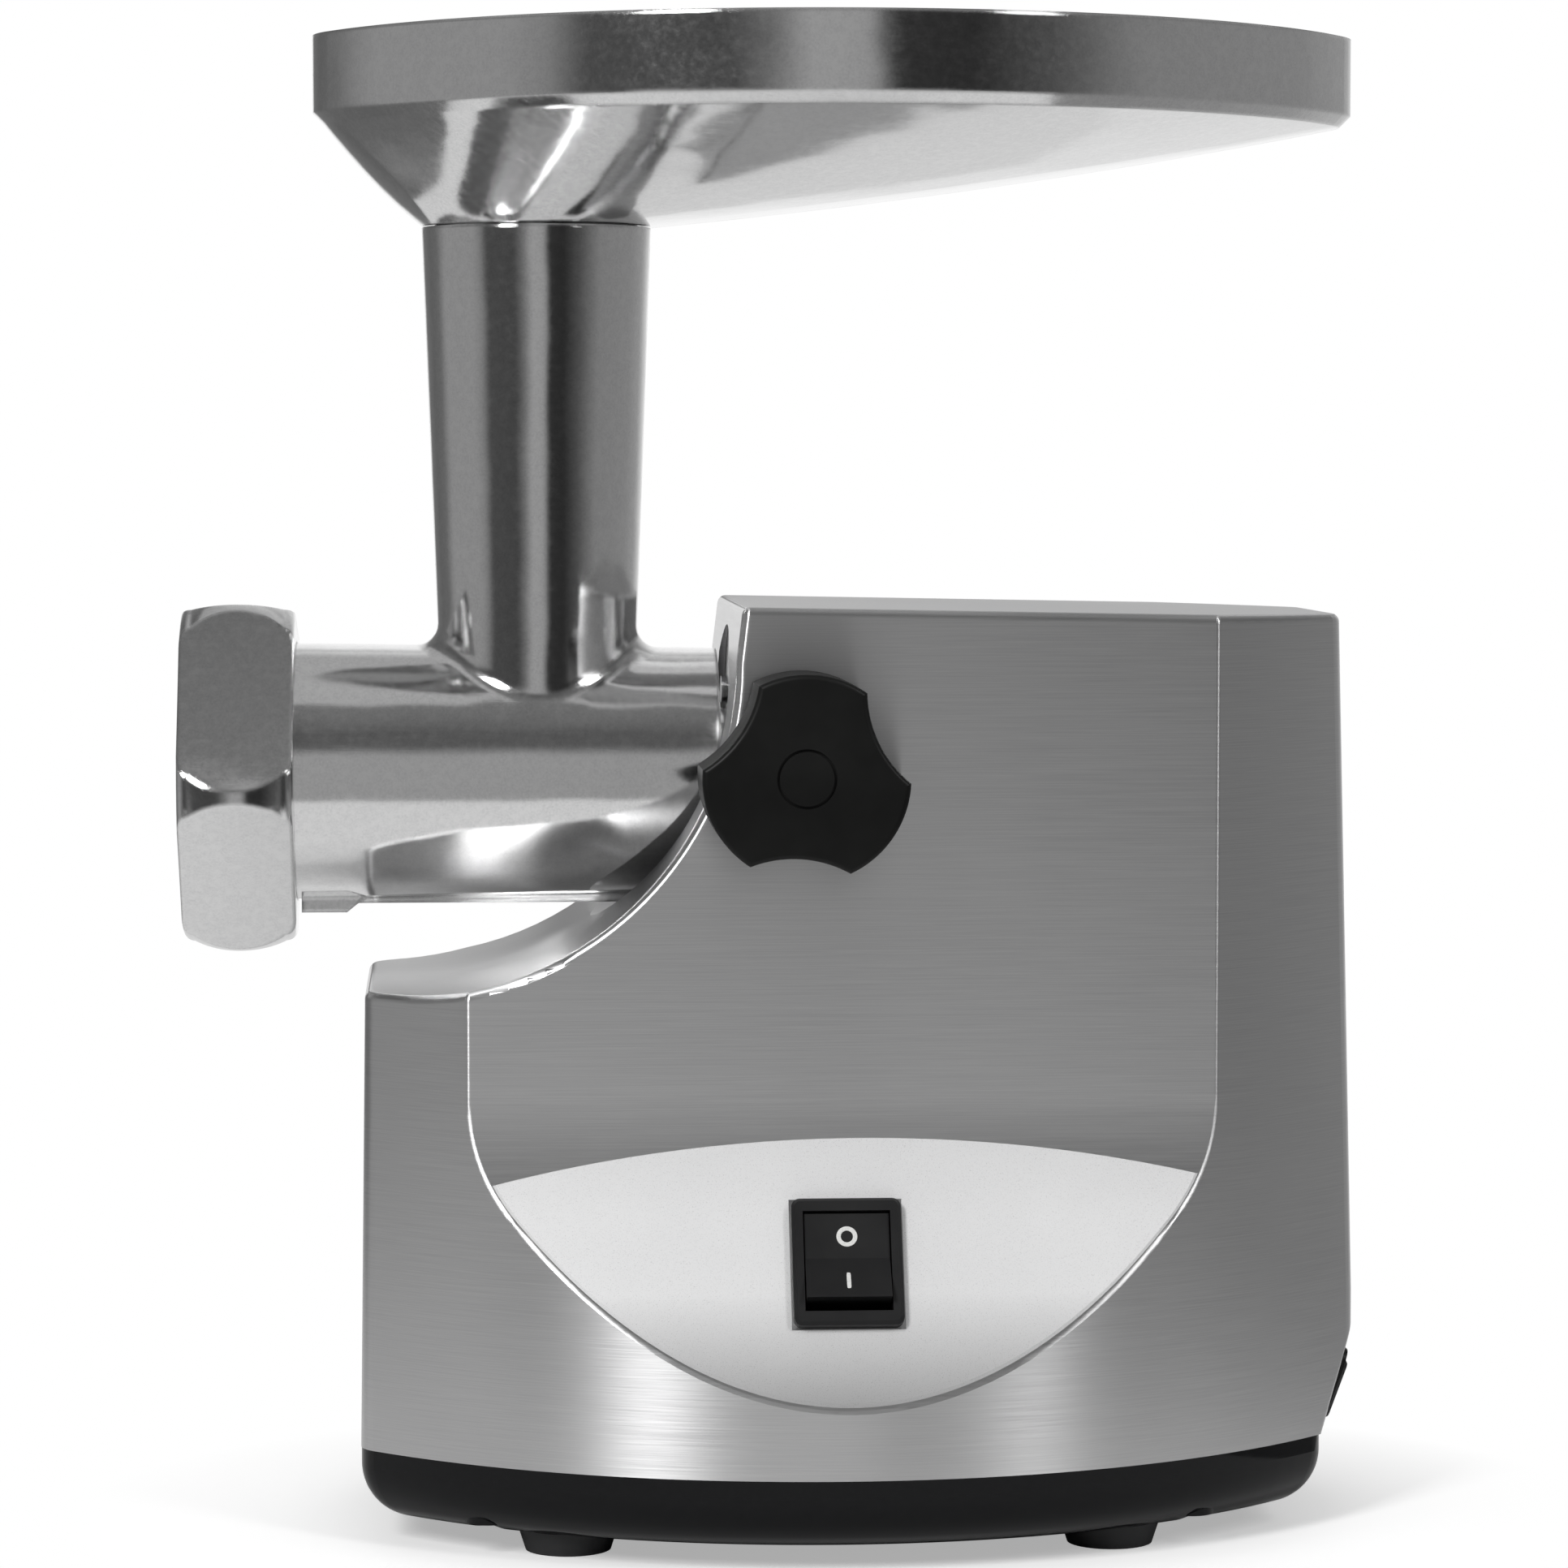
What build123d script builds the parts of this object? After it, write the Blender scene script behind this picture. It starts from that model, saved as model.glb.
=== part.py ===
from build123d import *
import math
import os

# Electric meat grinder, millimetres, +Z up, mouth towards -X, control side towards -Y.
# The origin is on the table under the middle of the whole object.

# Clearances
running_gap = 0.05
easy_gap = 0.3
# How far a cutter or a joined form runs past the face it meets
cut_over = 1.0

# Main heights and ends
axis_z = 175.0
foot_height = 5.4
seam_z = 22.0
mouth_x = -136.2
tray_end_x = 136.2

# Housing
housing_wall = 2.5
housing_centre_x = 13.7
housing_half_width = 80.0
housing_side_radius = 155.0
housing_front_x = -94.0
housing_front_low_x = -95.4
housing_top_z = 214.5
housing_top_fall = 2.5
housing_front_top_x = -9.0
housing_rear_top_x = 130.5
housing_rear_x = 135.4
rear_waist_z = 54.0
tuck_top_z = 46.0
tuck_seam_x = 126.5
front_arc_x = -85.5
front_arc_z = 202.0
front_arc_radius = 75.0
panel_inset = 25.0
knee_z = 89.7
knee_radius = 60.0
console_angle = 25.5
corner_radius = 9.0
corner_reach = 6.0
corner_height = 60.0
corner_lean = 12.0
edge_radius = 2.0
pocket_radius = 34.0
pocket_floor_x = -9.0
pocket_lead = 20.0
hollow_lead = 5.0
profile_lead = 10.0

# Base and feet
base_wall = 2.5
base_step = 0.1
base_round = 13.0
lip_height = 6.0
lip_gap_depth = 16.0
lip_gap_half_width = 24.0
foot_spread_x = 62.0
foot_inset = 38.0
foot_top_radius = 11.5
foot_bottom_radius = 9.75
foot_stub_radius = 4.0
post_spread_x = 80.0
post_inset = 33.5
post_radius = 4.5
post_web = 3.0
post_gap = 0.5
pad_half_width = 25.0
post_cap = 5.0
column_radius = 5.5
base_screw_radius = 1.75
base_screw_head_radius = 4.0
base_screw_head = 3.0
base_screw_length = 26.0
vent_width = 2.6
vent_length = 40.0
vent_pitch = 7.0
vent_count = 9
vent_centre_x = -15.0

# Grinder head
barrel_mouth_radius = 30.0
barrel_rear_radius = 28.5
barrel_rear_x = -12.5
barrel_rear_wall = 4.0
barrel_bore_radius = 26.0
mouth_setback = 6.5
tube_x = -54.0
tube_top_z = 301.0
tube_top_radius = 26.6
tube_low_z = 205.0
tube_low_radius = 23.1
tube_bore_radius = 20.0
tube_fillet = 5.0
neck_radius = 14.5
bush_setback = 1.0
neck_bore_radius = 11.7
neck_end_x = 30.0
lug_width = 12.0
lug_depth = 2.6
lug_length = 15.0
lug_flat = 0.7
lug_root = 5.0
lug_setback = 1.0
lug_end_rise = 1.0
rib_width = 6.0
rib_depth = 2.2
rib_root = 3.0
key_pin_radius = 1.3
key_pin_offset = 27.6
key_pin_length = 9.0

# Cutting set
nut_radius = 42.0
nut_length = 26.2
nut_lip = 4.7
nut_opening_radius = 25.0
nut_sides = 5
nut_side_span = 68.0
nut_side_hollow_radius = 300.0
nut_turn = 31.0
nut_crown = 2.6
nut_edge_round = 2.4
plate_radius = 27.2
plate_thickness = 4.8
plate_hole_radius = 2.25
plate_ring_radii = (9.0, 14.6, 20.2)
plate_ring_holes = (7, 13, 19)
knife_thickness = 7.6
knife_reach = 25.0
knife_arms = 4
knife_arm_width = 9.0
knife_hub_radius = 9.5
square_drive = 9.0
auger_radius = 25.4
auger_core_radius = 9.0
flight_setback = 1.0
auger_pitch = 24.0
auger_flight = 4.0
auger_pin_radius = 4.0
auger_shoulder_radius = 14.0
auger_shoulder = 2.0
washer_thickness = 1.5
tail_radius = 10.0
hex_across = 11.8
hex_depth = 18.0

# Tray
tray_half_width = 84.0
tray_side_radius = 133.5
tray_tip_radius = 30.0
tray_dish_rise = 23.7
tray_rim_height = 20.3
tray_wall = 2.2
tray_edge = 2.6
tray_neck_radius = 26.4
tray_mid_rise = 12.0
tray_mid_left_x = -93.0
tray_mid_right_x = 66.0
tray_mid_half_width = 52.0
spigot_radius = 23.4
spigot_depth = 18.0

# Lock knob
knob_x = 3.6
knob_rise = 2.5
knob_radius = 23.0
knob_scallop_radius = 26.0
knob_scallop_reach = 17.7
knob_lobes = 3
knob_lobe_turn = 86.0
knob_stand = 25.0
knob_button_radius = 6.6
knob_button_height = 0.8
knob_button_groove = 0.6
knob_edge_round = 1.2
screw_radius = 5.0
screw_grip = 14.0
clamp_washer_radius = 13.0
clamp_washer_thickness = 1.5

# Head socket
socket_radius = 20.0
socket_end_x = 32.0
socket_flange_radius = 31.0
socket_flange = 4.0
socket_boss_radius = 10.0
socket_gap = 0.2
socket_screw_circle = 25.5
socket_screw_count = 4
socket_screw_radius = 1.8
socket_screw_head_radius = 3.2
socket_screw_head = 1.2

# Gear train
pressure_angle = 25.0
addendum = 0.8
dedendum = 1.0
backlash = 0.16
module_one, module_two, module_three = 1.0, 1.25, 1.75
rotor_teeth, first_gear_teeth = 10, 50
first_pinion_teeth, second_gear_teeth = 11, 44
second_pinion_teeth, output_gear_teeth = 12, 36
lean_three, lean_two = 14.0, -28.0
front_plate_x, rear_plate_x = 38.0, 96.0
plate_gauge = 4.0
plate_half_width = 40.0
plate_top_z = 205.0
plate_foot_z = 27.0
stage_one_x, stage_two_x, stage_three_x = 46.0, 60.0, 76.0
stage_one_face, stage_two_face, stage_three_face = 10.0, 12.0, 16.0
pinion_overhang = 1.0
spindle_radius = 7.0
second_shaft_radius = 5.0
first_shaft_radius = 4.0
bush_wall = 2.5
bush_stand = 1.5
gear_post_radius = 4.0
gear_post_y = 34.0
gear_post_low_z, gear_post_high_z = 50.0, 198.0
gear_screw_radius = 2.0
gear_screw_head_radius = 3.5
gear_screw_head = 2.5
gear_screw_reach = 9.0

# Motor
stator_side = 76.0
stator_round = 10.0
stator_front_x, stator_rear_x = 6.0, -42.0
stator_bore_radius = 22.8
coil_inner_radius, coil_outer_radius = 24.5, 33.0
coil_span = 100.0
coil_overhang = 8.0
rotor_gap = 0.5
rotor_winding_radius = 18.0
rotor_winding_overhang = 4.0
motor_shaft_radius = 4.0
motor_pinion_core_radius = 3.6
commutator_radius = 12.0
commutator_rear_x, commutator_front_x = -62.0, -48.0
fan_rear_x, fan_front_x = 20.0, 31.0
fan_radius = 32.0
fan_hub_radius = 8.0
fan_disc = 2.0
fan_blades = 9
fan_blade_gauge = 1.8
bracket_x = -72.0
bracket_gauge = 5.0
bearing_radius = 9.5
bearing_width = 6.0
motor_bolt_offset = 31.0
motor_bolt_radius = 2.5
motor_bolt_head_radius = 4.5
motor_bolt_head = 3.0
holder_inner, holder_outer = 15.0, 33.0
holder_half_height = 7.0
brush_width, brush_half_height = 7.0, 4.5
brush_rear_x = -59.0
brush_outer = 29.0

# Switches, as bezel width and length, bezel height, rocker width and half length
power_x, power_z = 13.5, 68.0
power_bezel = (24.6, 29.4, 3.5)
power_rocker = (19.0, 10.25)
power_body_depth = 18.0
reverse_y, reverse_drop = -8.0, 3.5
reverse_bezel = (15.0, 21.0, 1.6)
reverse_rocker = (10.4, 6.6)
reverse_body_depth = 13.0
rocker_tilt = 9.4
rocker_dip = 1.7
rocker_pivot_depth = 2.0
rocker_belly = 6.0
trunnion_radius = 1.2
trunnion_bite = 0.35
bezel_round = 2.0
bezel_bevel = 0.8
bezel_ledge = 1.5
rocker_stand = 0.8
rocker_taper = 1.2
rocker_skirt = 4.0

# Label, rear panel, gland and wiring blocks
label_gauge = 0.4
label_margin = 0.5
label_top_x = 17.0
label_top_z = 95.2
label_top_radius = 350.0
label_switch_gap = 0.4
rear_panel_size = (43.0, 18.0)
rear_panel_drop = 2.5
rear_panel_gauge = 1.5
rear_panel_round = 3.0
gland_y, gland_drop = 13.5, 3.0
gland_radius = 5.5
gland_flange_radius = 7.0
gland_flange = 3.0
gland_bore_radius = 3.6
gland_depth = 10.0
terminal_size = (30.0, 16.0, 14.0)
terminal_x = 68.0
capacitor_size = (26.0, 10.0, 16.0)
capacitor_x = 68.0
capacitor_inset = 34.0
block_gap = 7.0

# What follows from these
panel_half_width = housing_half_width - panel_inset
foot_spread_y = housing_half_width - foot_inset
post_spread_y = housing_half_width - post_inset
knob_face_y = -(panel_half_width + knob_stand)
capacitor_y = housing_half_width - capacitor_inset
terminal_y = capacitor_y - capacitor_size[1] / 2 - block_gap - terminal_size[1] / 2
knob_z = axis_z + knob_rise
column_top_z = seam_z + lip_height + post_gap
base_floor_z = foot_height + base_wall
screw_seat_z = base_floor_z + base_screw_head
post_top_z = screw_seat_z + base_screw_length + post_cap
tray_neck_z = tube_top_z + easy_gap
tray_mid_z = tube_top_z + tray_mid_rise
tray_rim_low_z = tube_top_z + tray_dish_rise
tray_rim_top_z = tray_rim_low_z + tray_rim_height


def span_box(x_span, y_span, z_span):
    size = [b - a for a, b in (x_span, y_span, z_span)]
    middle = [(a + b) / 2 for a, b in (x_span, y_span, z_span)]
    return Pos(*middle) * Box(*size)


def rod_x(radius, start, end, y=0.0, z=axis_z):
    return Pos((start + end) / 2, y, z) * Rot(0, 90, 0) * Cylinder(radius, end - start)


def tube_along_x(outer, inner, start, end, y=0.0, z=axis_z):
    return rod_x(outer, start, end, y, z) - rod_x(inner, start - cut_over, end + cut_over, y, z)


def rod_y(radius, start, end, x, z):
    return Pos(x, (start + end) / 2, z) * Rot(90, 0, 0) * Cylinder(radius, end - start)


def rod_z(radius, start, end, x, y):
    return Pos(x, y, (start + end) / 2) * Cylinder(radius, end - start)


def cone_x(start_radius, end_radius, start, end, z=axis_z):
    turned = Pos((start + end) / 2, 0, z) * Rot(0, 90, 0)
    return turned * Cone(start_radius, end_radius, end - start)


# Housing: a lens in plan, cut by a side profile and by an end profile.

def lens(side_radius, half_width, inset, low_z, high_z, centre_x):
    drums = [
        Pos(0, side * (side_radius - half_width), 0)
        * rod_z(side_radius - inset, low_z, high_z, centre_x, 0)
        for side in (-1, 1)
    ]
    return drums[0] & drums[1]


def side_profile(inset, low_z):
    reach = front_arc_radius + inset
    tuck_slope = (housing_rear_x - tuck_seam_x) / (tuck_top_z - seam_z)
    low_rear_x = tuck_seam_x - (seam_z - low_z) * tuck_slope
    tuck_inset = inset * math.hypot(1, tuck_slope)
    nose = (front_arc_x, 0, front_arc_z - reach)
    brow = (front_arc_x + reach, 0, front_arc_z)
    turn = reach * math.sqrt(0.5)
    middle = (front_arc_x + turn, 0, front_arc_z - turn)
    outline = [
        Polyline(
            brow,
            (housing_front_top_x + inset, 0, housing_top_z - inset),
            (housing_rear_top_x - inset, 0, housing_top_z - housing_top_fall - inset),
            (housing_rear_x - inset, 0, rear_waist_z),
            (housing_rear_x - inset, 0, tuck_top_z),
            (low_rear_x - tuck_inset, 0, low_z),
            (housing_front_low_x + inset, 0, low_z),
            (housing_front_x + inset, 0, front_arc_z - reach),
            nose,
        ),
        ThreePointArc(nose, middle, brow),
    ]
    return extrude(make_face(outline), amount=2 * housing_half_width, both=True)


def end_profile(inset, low_z):
    slope = math.tan(math.radians(console_angle))
    shift = inset * (1 / math.cos(math.radians(console_angle)) - 1) / slope
    half = panel_half_width - inset
    bend_z = knee_z - shift
    foot = half + (bend_z - low_z) * slope
    points = [
        (-half, housing_top_z + profile_lead),
        (-half, bend_z),
        (-foot, low_z),
        (foot, low_z),
        (half, bend_z),
        (half, housing_top_z + profile_lead),
    ]
    face = make_face(Polyline(*points, close=True))
    bends = [v for v in face.vertices() if abs(v.Y - bend_z) < 0.01]
    face = fillet(bends, radius=knee_radius + inset)
    return extrude(Plane.YZ * face, amount=3 * housing_half_width, both=True)


def housing_form(inset, low_z):
    plan = lens(housing_side_radius, housing_half_width, inset, low_z, housing_top_z, housing_centre_x)
    return plan & side_profile(inset, low_z) & end_profile(inset, low_z)


def places(spread_x, spread_y):
    return [
        (housing_centre_x + i * spread_x, j * spread_y)
        for i in (-1, 1)
        for j in (-1, 1)
    ]


def upright_corners(form, radius):
    ends = (housing_front_x, housing_rear_x)
    corners = []
    for edge in form.edges():
        box = edge.bounding_box()
        near_end = min(abs(box.min.X - ends[0]), abs(box.max.X - ends[1])) < corner_reach
        if near_end and box.size.Z > corner_height and box.size.Y < corner_lean:
            corners.append(edge)
    return fillet(corners, radius)


def make_housing():
    form = upright_corners(housing_form(0, seam_z), corner_radius)
    rims = [e for e in form.edges() if e.bounding_box().max.Z > seam_z + 1]
    form = fillet(rims, edge_radius)
    pocket_start = housing_front_x - pocket_lead
    form -= rod_x(pocket_radius, pocket_start, pocket_floor_x)
    hollow = housing_form(housing_wall, seam_z - hollow_lead)
    hollow -= rod_x(pocket_radius + housing_wall, pocket_start, pocket_floor_x + housing_wall)
    shell = form - hollow
    core = housing_form(housing_wall / 2, seam_z)
    for x, y in places(post_spread_x, post_spread_y):
        side = math.copysign(1, y)
        web = span_box(
            (x - post_web / 2, x + post_web / 2),
            sorted((y, side * housing_half_width)),
            (column_top_z, post_top_z),
        )
        shell += rod_z(post_radius, column_top_z, post_top_z, x, y) + (web & core)
        bore_top_z = post_top_z - post_cap + cut_over
        shell -= rod_z(base_screw_radius + running_gap, column_top_z - cut_over, bore_top_z, x, y)
    floor_ends = (pocket_floor_x - cut_over, pocket_floor_x + housing_wall + cut_over)
    shell -= rod_x(socket_radius + easy_gap, *floor_ends)
    for y, z in socket_screw_places():
        shell -= rod_x(socket_screw_radius + running_gap, *floor_ends, y, z)
    shell -= rod_y(screw_radius + 4 * running_gap, -housing_half_width, 0, knob_x, knob_z)
    shell -= switch_hole(power_plane, power_bezel, power_body_depth)
    shell -= switch_hole(reverse_plane, reverse_bezel, reverse_body_depth)
    gland_hole = Cylinder(gland_radius + running_gap, 4 * housing_wall)
    shell -= tuck_plane * Pos(gland_y, -gland_drop, 0) * gland_hole
    return shell


# Base, feet and what holds them.

def base_form(inset, low_z, high_z):
    body = lens(housing_side_radius, housing_half_width, inset, low_z, high_z, housing_centre_x)
    ends = (housing_front_low_x + inset, tuck_seam_x - inset)
    wide = (-housing_half_width, housing_half_width)
    return body & span_box(ends, wide, (low_z, high_z))


def make_base():
    pan = base_form(base_step, foot_height, seam_z)
    pan = fillet(pan.edges().filter_by(Axis.Z), corner_radius)
    pan = fillet(pan.faces().sort_by(Axis.Z)[0].edges(), base_round)
    lip_inset = housing_wall + easy_gap
    hollow = base_form(lip_inset + base_wall, base_floor_z, seam_z + cut_over)
    floor_round = base_round - lip_inset - base_wall
    pan -= fillet(hollow.faces().sort_by(Axis.Z)[0].edges(), floor_round)
    lip = base_form(lip_inset, seam_z - cut_over, seam_z + lip_height)
    lip -= base_form(lip_inset + base_wall, seam_z - 2, seam_z + lip_height + cut_over)
    lip -= span_box(
        (tuck_seam_x - lip_gap_depth, tuck_seam_x),
        (-lip_gap_half_width, lip_gap_half_width),
        (seam_z, seam_z + lip_height + cut_over),
    )
    pan += lip
    stands = ((front_plate_x, plate_gauge), (rear_plate_x, plate_gauge), (bracket_x, bracket_gauge))
    for start, gauge in stands:
        ends = (start - 2, start + gauge + 2)
        pan += span_box(ends, (-pad_half_width, pad_half_width), (base_floor_z - 0.5, plate_foot_z))
    for x, y in places(post_spread_x, post_spread_y):
        pan += rod_z(column_radius, base_floor_z - 0.5, column_top_z, x, y)
        pan -= rod_z(base_screw_radius + easy_gap, foot_height - cut_over, column_top_z + cut_over, x, y)
        pan -= rod_z(base_screw_head_radius + easy_gap, foot_height - cut_over, screw_seat_z, x, y)
    for x, y in places(foot_spread_x, foot_spread_y):
        pan -= rod_z(foot_stub_radius + running_gap, foot_height - cut_over, base_floor_z + cut_over, x, y)
    for i in range(vent_count):
        x = vent_centre_x + (i - (vent_count - 1) / 2) * vent_pitch
        slot = SlotOverall(vent_length, vent_width, rotation=90)
        pan -= extrude(Plane((x, 0, foot_height - cut_over)) * slot, amount=base_wall + 2)
    return pan


def make_feet():
    foot = Pos(0, 0, foot_height / 2) * Cone(foot_bottom_radius, foot_top_radius, foot_height)
    foot += rod_z(foot_stub_radius, foot_height, base_floor_z, 0, 0)
    return [Pos(x, y, 0) * foot for x, y in places(foot_spread_x, foot_spread_y)]


def make_base_screws():
    shank_top = screw_seat_z + base_screw_length
    screw = rod_z(base_screw_radius, screw_seat_z, shank_top, 0, 0)
    screw += rod_z(base_screw_head_radius, screw_seat_z - base_screw_head, screw_seat_z, 0, 0)
    return [Pos(x, y, 0) * screw for x, y in places(post_spread_x, post_spread_y)]


# Grinder head and its cutting set.

head_mouth_x = mouth_x + mouth_setback
plate_front_x = mouth_x + nut_lip + easy_gap
plate_rear_x = plate_front_x + plate_thickness
seat_x = plate_rear_x + easy_gap
knife_front_x = plate_rear_x + easy_gap
knife_rear_x = knife_front_x + knife_thickness
nut_rear_x = mouth_x + nut_length
rear_wall_x = barrel_rear_x - barrel_rear_wall
shoulder_rear_x = rear_wall_x - easy_gap - washer_thickness


def tube_radius(z):
    rate = (tube_top_radius - tube_low_radius) / (tube_top_z - tube_low_z)
    return tube_low_radius + (z - tube_low_z) * rate


def make_head():
    barrel = cone_x(barrel_mouth_radius, barrel_rear_radius, head_mouth_x, barrel_rear_x)
    tube = Pos(tube_x, 0, (axis_z + tube_top_z) / 2)
    tube *= Cone(tube_radius(axis_z), tube_top_radius, tube_top_z - axis_z)
    head = barrel + tube
    joint = [
        e
        for e in head.edges()
        if e.bounding_box().size.X > tube_low_radius
        and e.bounding_box().size.Y > tube_low_radius
        and e.bounding_box().max.Z < tube_low_z + 5
        and e.bounding_box().size.Z > 5
        and abs(e.center().X - tube_x) < tube_low_radius
    ]
    head = fillet(joint, tube_fillet)
    low_z = axis_z - barrel_mouth_radius
    lug_x = nut_rear_x + lug_setback
    lug = [
        (lug_x, low_z - lug_depth),
        (lug_x + lug_flat * lug_length, low_z - lug_depth),
        (lug_x + lug_length, low_z + lug_end_rise),
        (lug_x + lug_length, low_z + lug_root),
        (lug_x, low_z + lug_root),
    ]
    head += lug_block(lug)
    rib_span = (lug_x + lug_length / 2, barrel_rear_x)
    rib_z = (axis_z - barrel_rear_radius - rib_depth, axis_z - barrel_rear_radius + rib_root)
    head += span_box(rib_span, (-rib_width / 2, rib_width / 2), rib_z)
    head += rod_x(neck_radius, barrel_rear_x - cut_over, neck_end_x)
    head -= rod_x(barrel_bore_radius, head_mouth_x - cut_over, rear_wall_x)
    head -= rod_x(plate_radius + easy_gap, head_mouth_x - cut_over, seat_x)
    head -= rod_x(neck_bore_radius, rear_wall_x - cut_over, neck_end_x + cut_over)
    head -= rod_z(tube_bore_radius, axis_z, tube_top_z + cut_over, tube_x, 0)
    spigot_floor_z = tube_top_z - spigot_depth - easy_gap
    head -= rod_z(spigot_radius + easy_gap, spigot_floor_z, tube_top_z + cut_over, tube_x, 0)
    key_ends = (head_mouth_x - cut_over, seat_x + key_pin_length)
    head -= rod_x(key_pin_radius + running_gap, *key_ends, 0, axis_z - key_pin_offset)
    return head


def lug_block(points):
    face = make_face(Polyline(*[(x, 0, z) for x, z in points], close=True))
    return extrude(face, amount=lug_width / 2, both=True)


def make_key_pin():
    pin_end = seat_x + key_pin_length - easy_gap
    return rod_x(key_pin_radius, head_mouth_x, pin_end, 0, axis_z - key_pin_offset)


def make_neck_bush():
    outer = neck_bore_radius - running_gap
    return tube_along_x(outer, tail_radius + 2 * running_gap, rear_wall_x, neck_end_x - bush_setback)


def make_auger():
    flight_start, flight_end = knife_rear_x + flight_setback, shoulder_rear_x - auger_shoulder
    core = rod_x(auger_core_radius, knife_rear_x, shoulder_rear_x)
    core += rod_x(auger_shoulder_radius, flight_end, shoulder_rear_x)
    core += rod_x(tail_radius, shoulder_rear_x, neck_end_x)
    core += rod_x(auger_pin_radius, plate_front_x, knife_rear_x)
    knife_seat = Plane((knife_front_x, 0, axis_z), x_dir=(0, 1, 0), z_dir=(1, 0, 0))
    core += extrude(knife_seat * Rectangle(square_drive, square_drive), amount=knife_thickness + cut_over)
    inner = auger_core_radius - 2
    helix_radius = (inner + auger_radius) / 2
    helix = Helix(auger_pitch, flight_end - flight_start - auger_flight - flight_setback, helix_radius)
    start_plane = Plane((helix_radius, 0, 0), x_dir=(1, 0, 0), z_dir=(0, 1, 0))
    section = start_plane * Rectangle(auger_radius - inner + 2, auger_flight)
    flight = sweep(section, path=helix, is_frenet=True)
    flight = Pos(flight_start + auger_flight / 2, 0, axis_z) * Rot(0, 90, 0) * flight
    flight &= rod_x(auger_radius, flight_start - auger_flight, shoulder_rear_x)
    auger = core + flight
    hex_socket = RegularPolygon(hex_across / 2 + easy_gap, 6, major_radius=False)
    socket_plane = Plane((neck_end_x, 0, axis_z), x_dir=(0, 1, 0), z_dir=(-1, 0, 0))
    return auger - extrude(socket_plane * hex_socket, amount=hex_depth)


def make_auger_washer():
    inner = tail_radius + running_gap
    return tube_along_x(auger_shoulder_radius, inner, shoulder_rear_x, rear_wall_x - easy_gap)


def make_knife():
    knife = rod_x(knife_hub_radius, knife_front_x, knife_rear_x)
    arm = span_box(
        (knife_front_x, knife_front_x + knife_thickness * 0.75),
        (0, knife_reach),
        (axis_z - knife_arm_width / 2, axis_z + knife_arm_width / 2),
    )
    arm &= rod_x(knife_reach, knife_front_x, knife_rear_x)
    for i in range(knife_arms):
        knife += arm.rotate(Axis((0, 0, axis_z), (1, 0, 0)), i * 360 / knife_arms)
    hole = square_drive + 2 * running_gap
    seat = Plane((knife_front_x - cut_over, 0, axis_z), x_dir=(0, 1, 0), z_dir=(1, 0, 0))
    return knife - extrude(seat * Rectangle(hole, hole), amount=knife_thickness + 2)


def make_plate():
    plate = rod_x(plate_radius, plate_front_x, plate_rear_x)
    plate -= rod_x(auger_pin_radius + easy_gap, plate_front_x - cut_over, plate_rear_x + cut_over)
    pin_z = axis_z - key_pin_offset
    plate -= rod_x(key_pin_radius + 2 * easy_gap, plate_front_x - cut_over, plate_rear_x + cut_over, 0, pin_z)
    for ring, count in zip(plate_ring_radii, plate_ring_holes):
        for i in range(count):
            angle = 2 * math.pi * i / count
            y, z = ring * math.cos(angle), axis_z + ring * math.sin(angle)
            plate -= rod_x(plate_hole_radius, plate_front_x - cut_over, plate_rear_x + cut_over, y, z)
    return plate


def make_nut():
    shoulder = nut_radius - nut_crown
    half = nut_length / 2
    side, low = half - nut_edge_round, shoulder - nut_edge_round
    bend = nut_edge_round * math.sqrt(0.5)
    outline = [
        Polyline((half, low), (half, 0), (-half, 0), (-half, low)),
        ThreePointArc((-half, low), (-side - bend, low + bend), (-side, shoulder)),
        ThreePointArc((-side, shoulder), (0, nut_radius), (side, shoulder)),
        ThreePointArc((side, shoulder), (side + bend, low + bend), (half, low)),
    ]
    body = revolve(make_face(outline), Axis.X, 360)
    flat = nut_radius * math.cos(math.radians(nut_side_span / 2))
    half_chord = nut_radius * math.sin(math.radians(nut_side_span / 2))
    hollow = nut_side_hollow_radius - math.sqrt(nut_side_hollow_radius**2 - half_chord**2)
    reach = flat - hollow + nut_side_hollow_radius
    for i in range(nut_sides):
        angle = math.radians(180 - nut_turn + i * 360 / nut_sides)
        y, z = reach * math.cos(angle), reach * math.sin(angle)
        body -= rod_x(nut_side_hollow_radius, -nut_length, nut_length, y, z)
    nut = Pos(mouth_x + half, 0, axis_z) * body
    nut -= rod_x(nut_opening_radius, mouth_x - cut_over, nut_rear_x + cut_over)
    return nut - rod_x(barrel_mouth_radius + easy_gap, mouth_x + nut_lip, nut_rear_x + cut_over)


# Tray: a lens with rounded tips, drawn down to the feed tube.

def rounded_lens(side_radius, half_width, tip_radius, inset, centre_x, z):
    drop = side_radius - half_width
    tip_u = math.sqrt((side_radius - tip_radius) ** 2 - drop**2)
    touch = side_radius / (side_radius - tip_radius)
    meet_u, meet_y = tip_u * touch, drop * touch - drop
    scale = (tip_radius - inset) / tip_radius
    meet_u, meet_y = tip_u + (meet_u - tip_u) * scale, meet_y * scale
    far_u, far_y = tip_u + tip_radius - inset, half_width - inset
    side = ThreePointArc((-meet_u, meet_y), (0, far_y), (meet_u, meet_y))
    right = ThreePointArc((meet_u, meet_y), (far_u, 0), (meet_u, -meet_y))
    other = ThreePointArc((meet_u, -meet_y), (0, -far_y), (-meet_u, -meet_y))
    left = ThreePointArc((-meet_u, -meet_y), (-far_u, 0), (-meet_u, meet_y))
    return Pos(centre_x, 0, z) * make_face([side, right, other, left])


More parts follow.
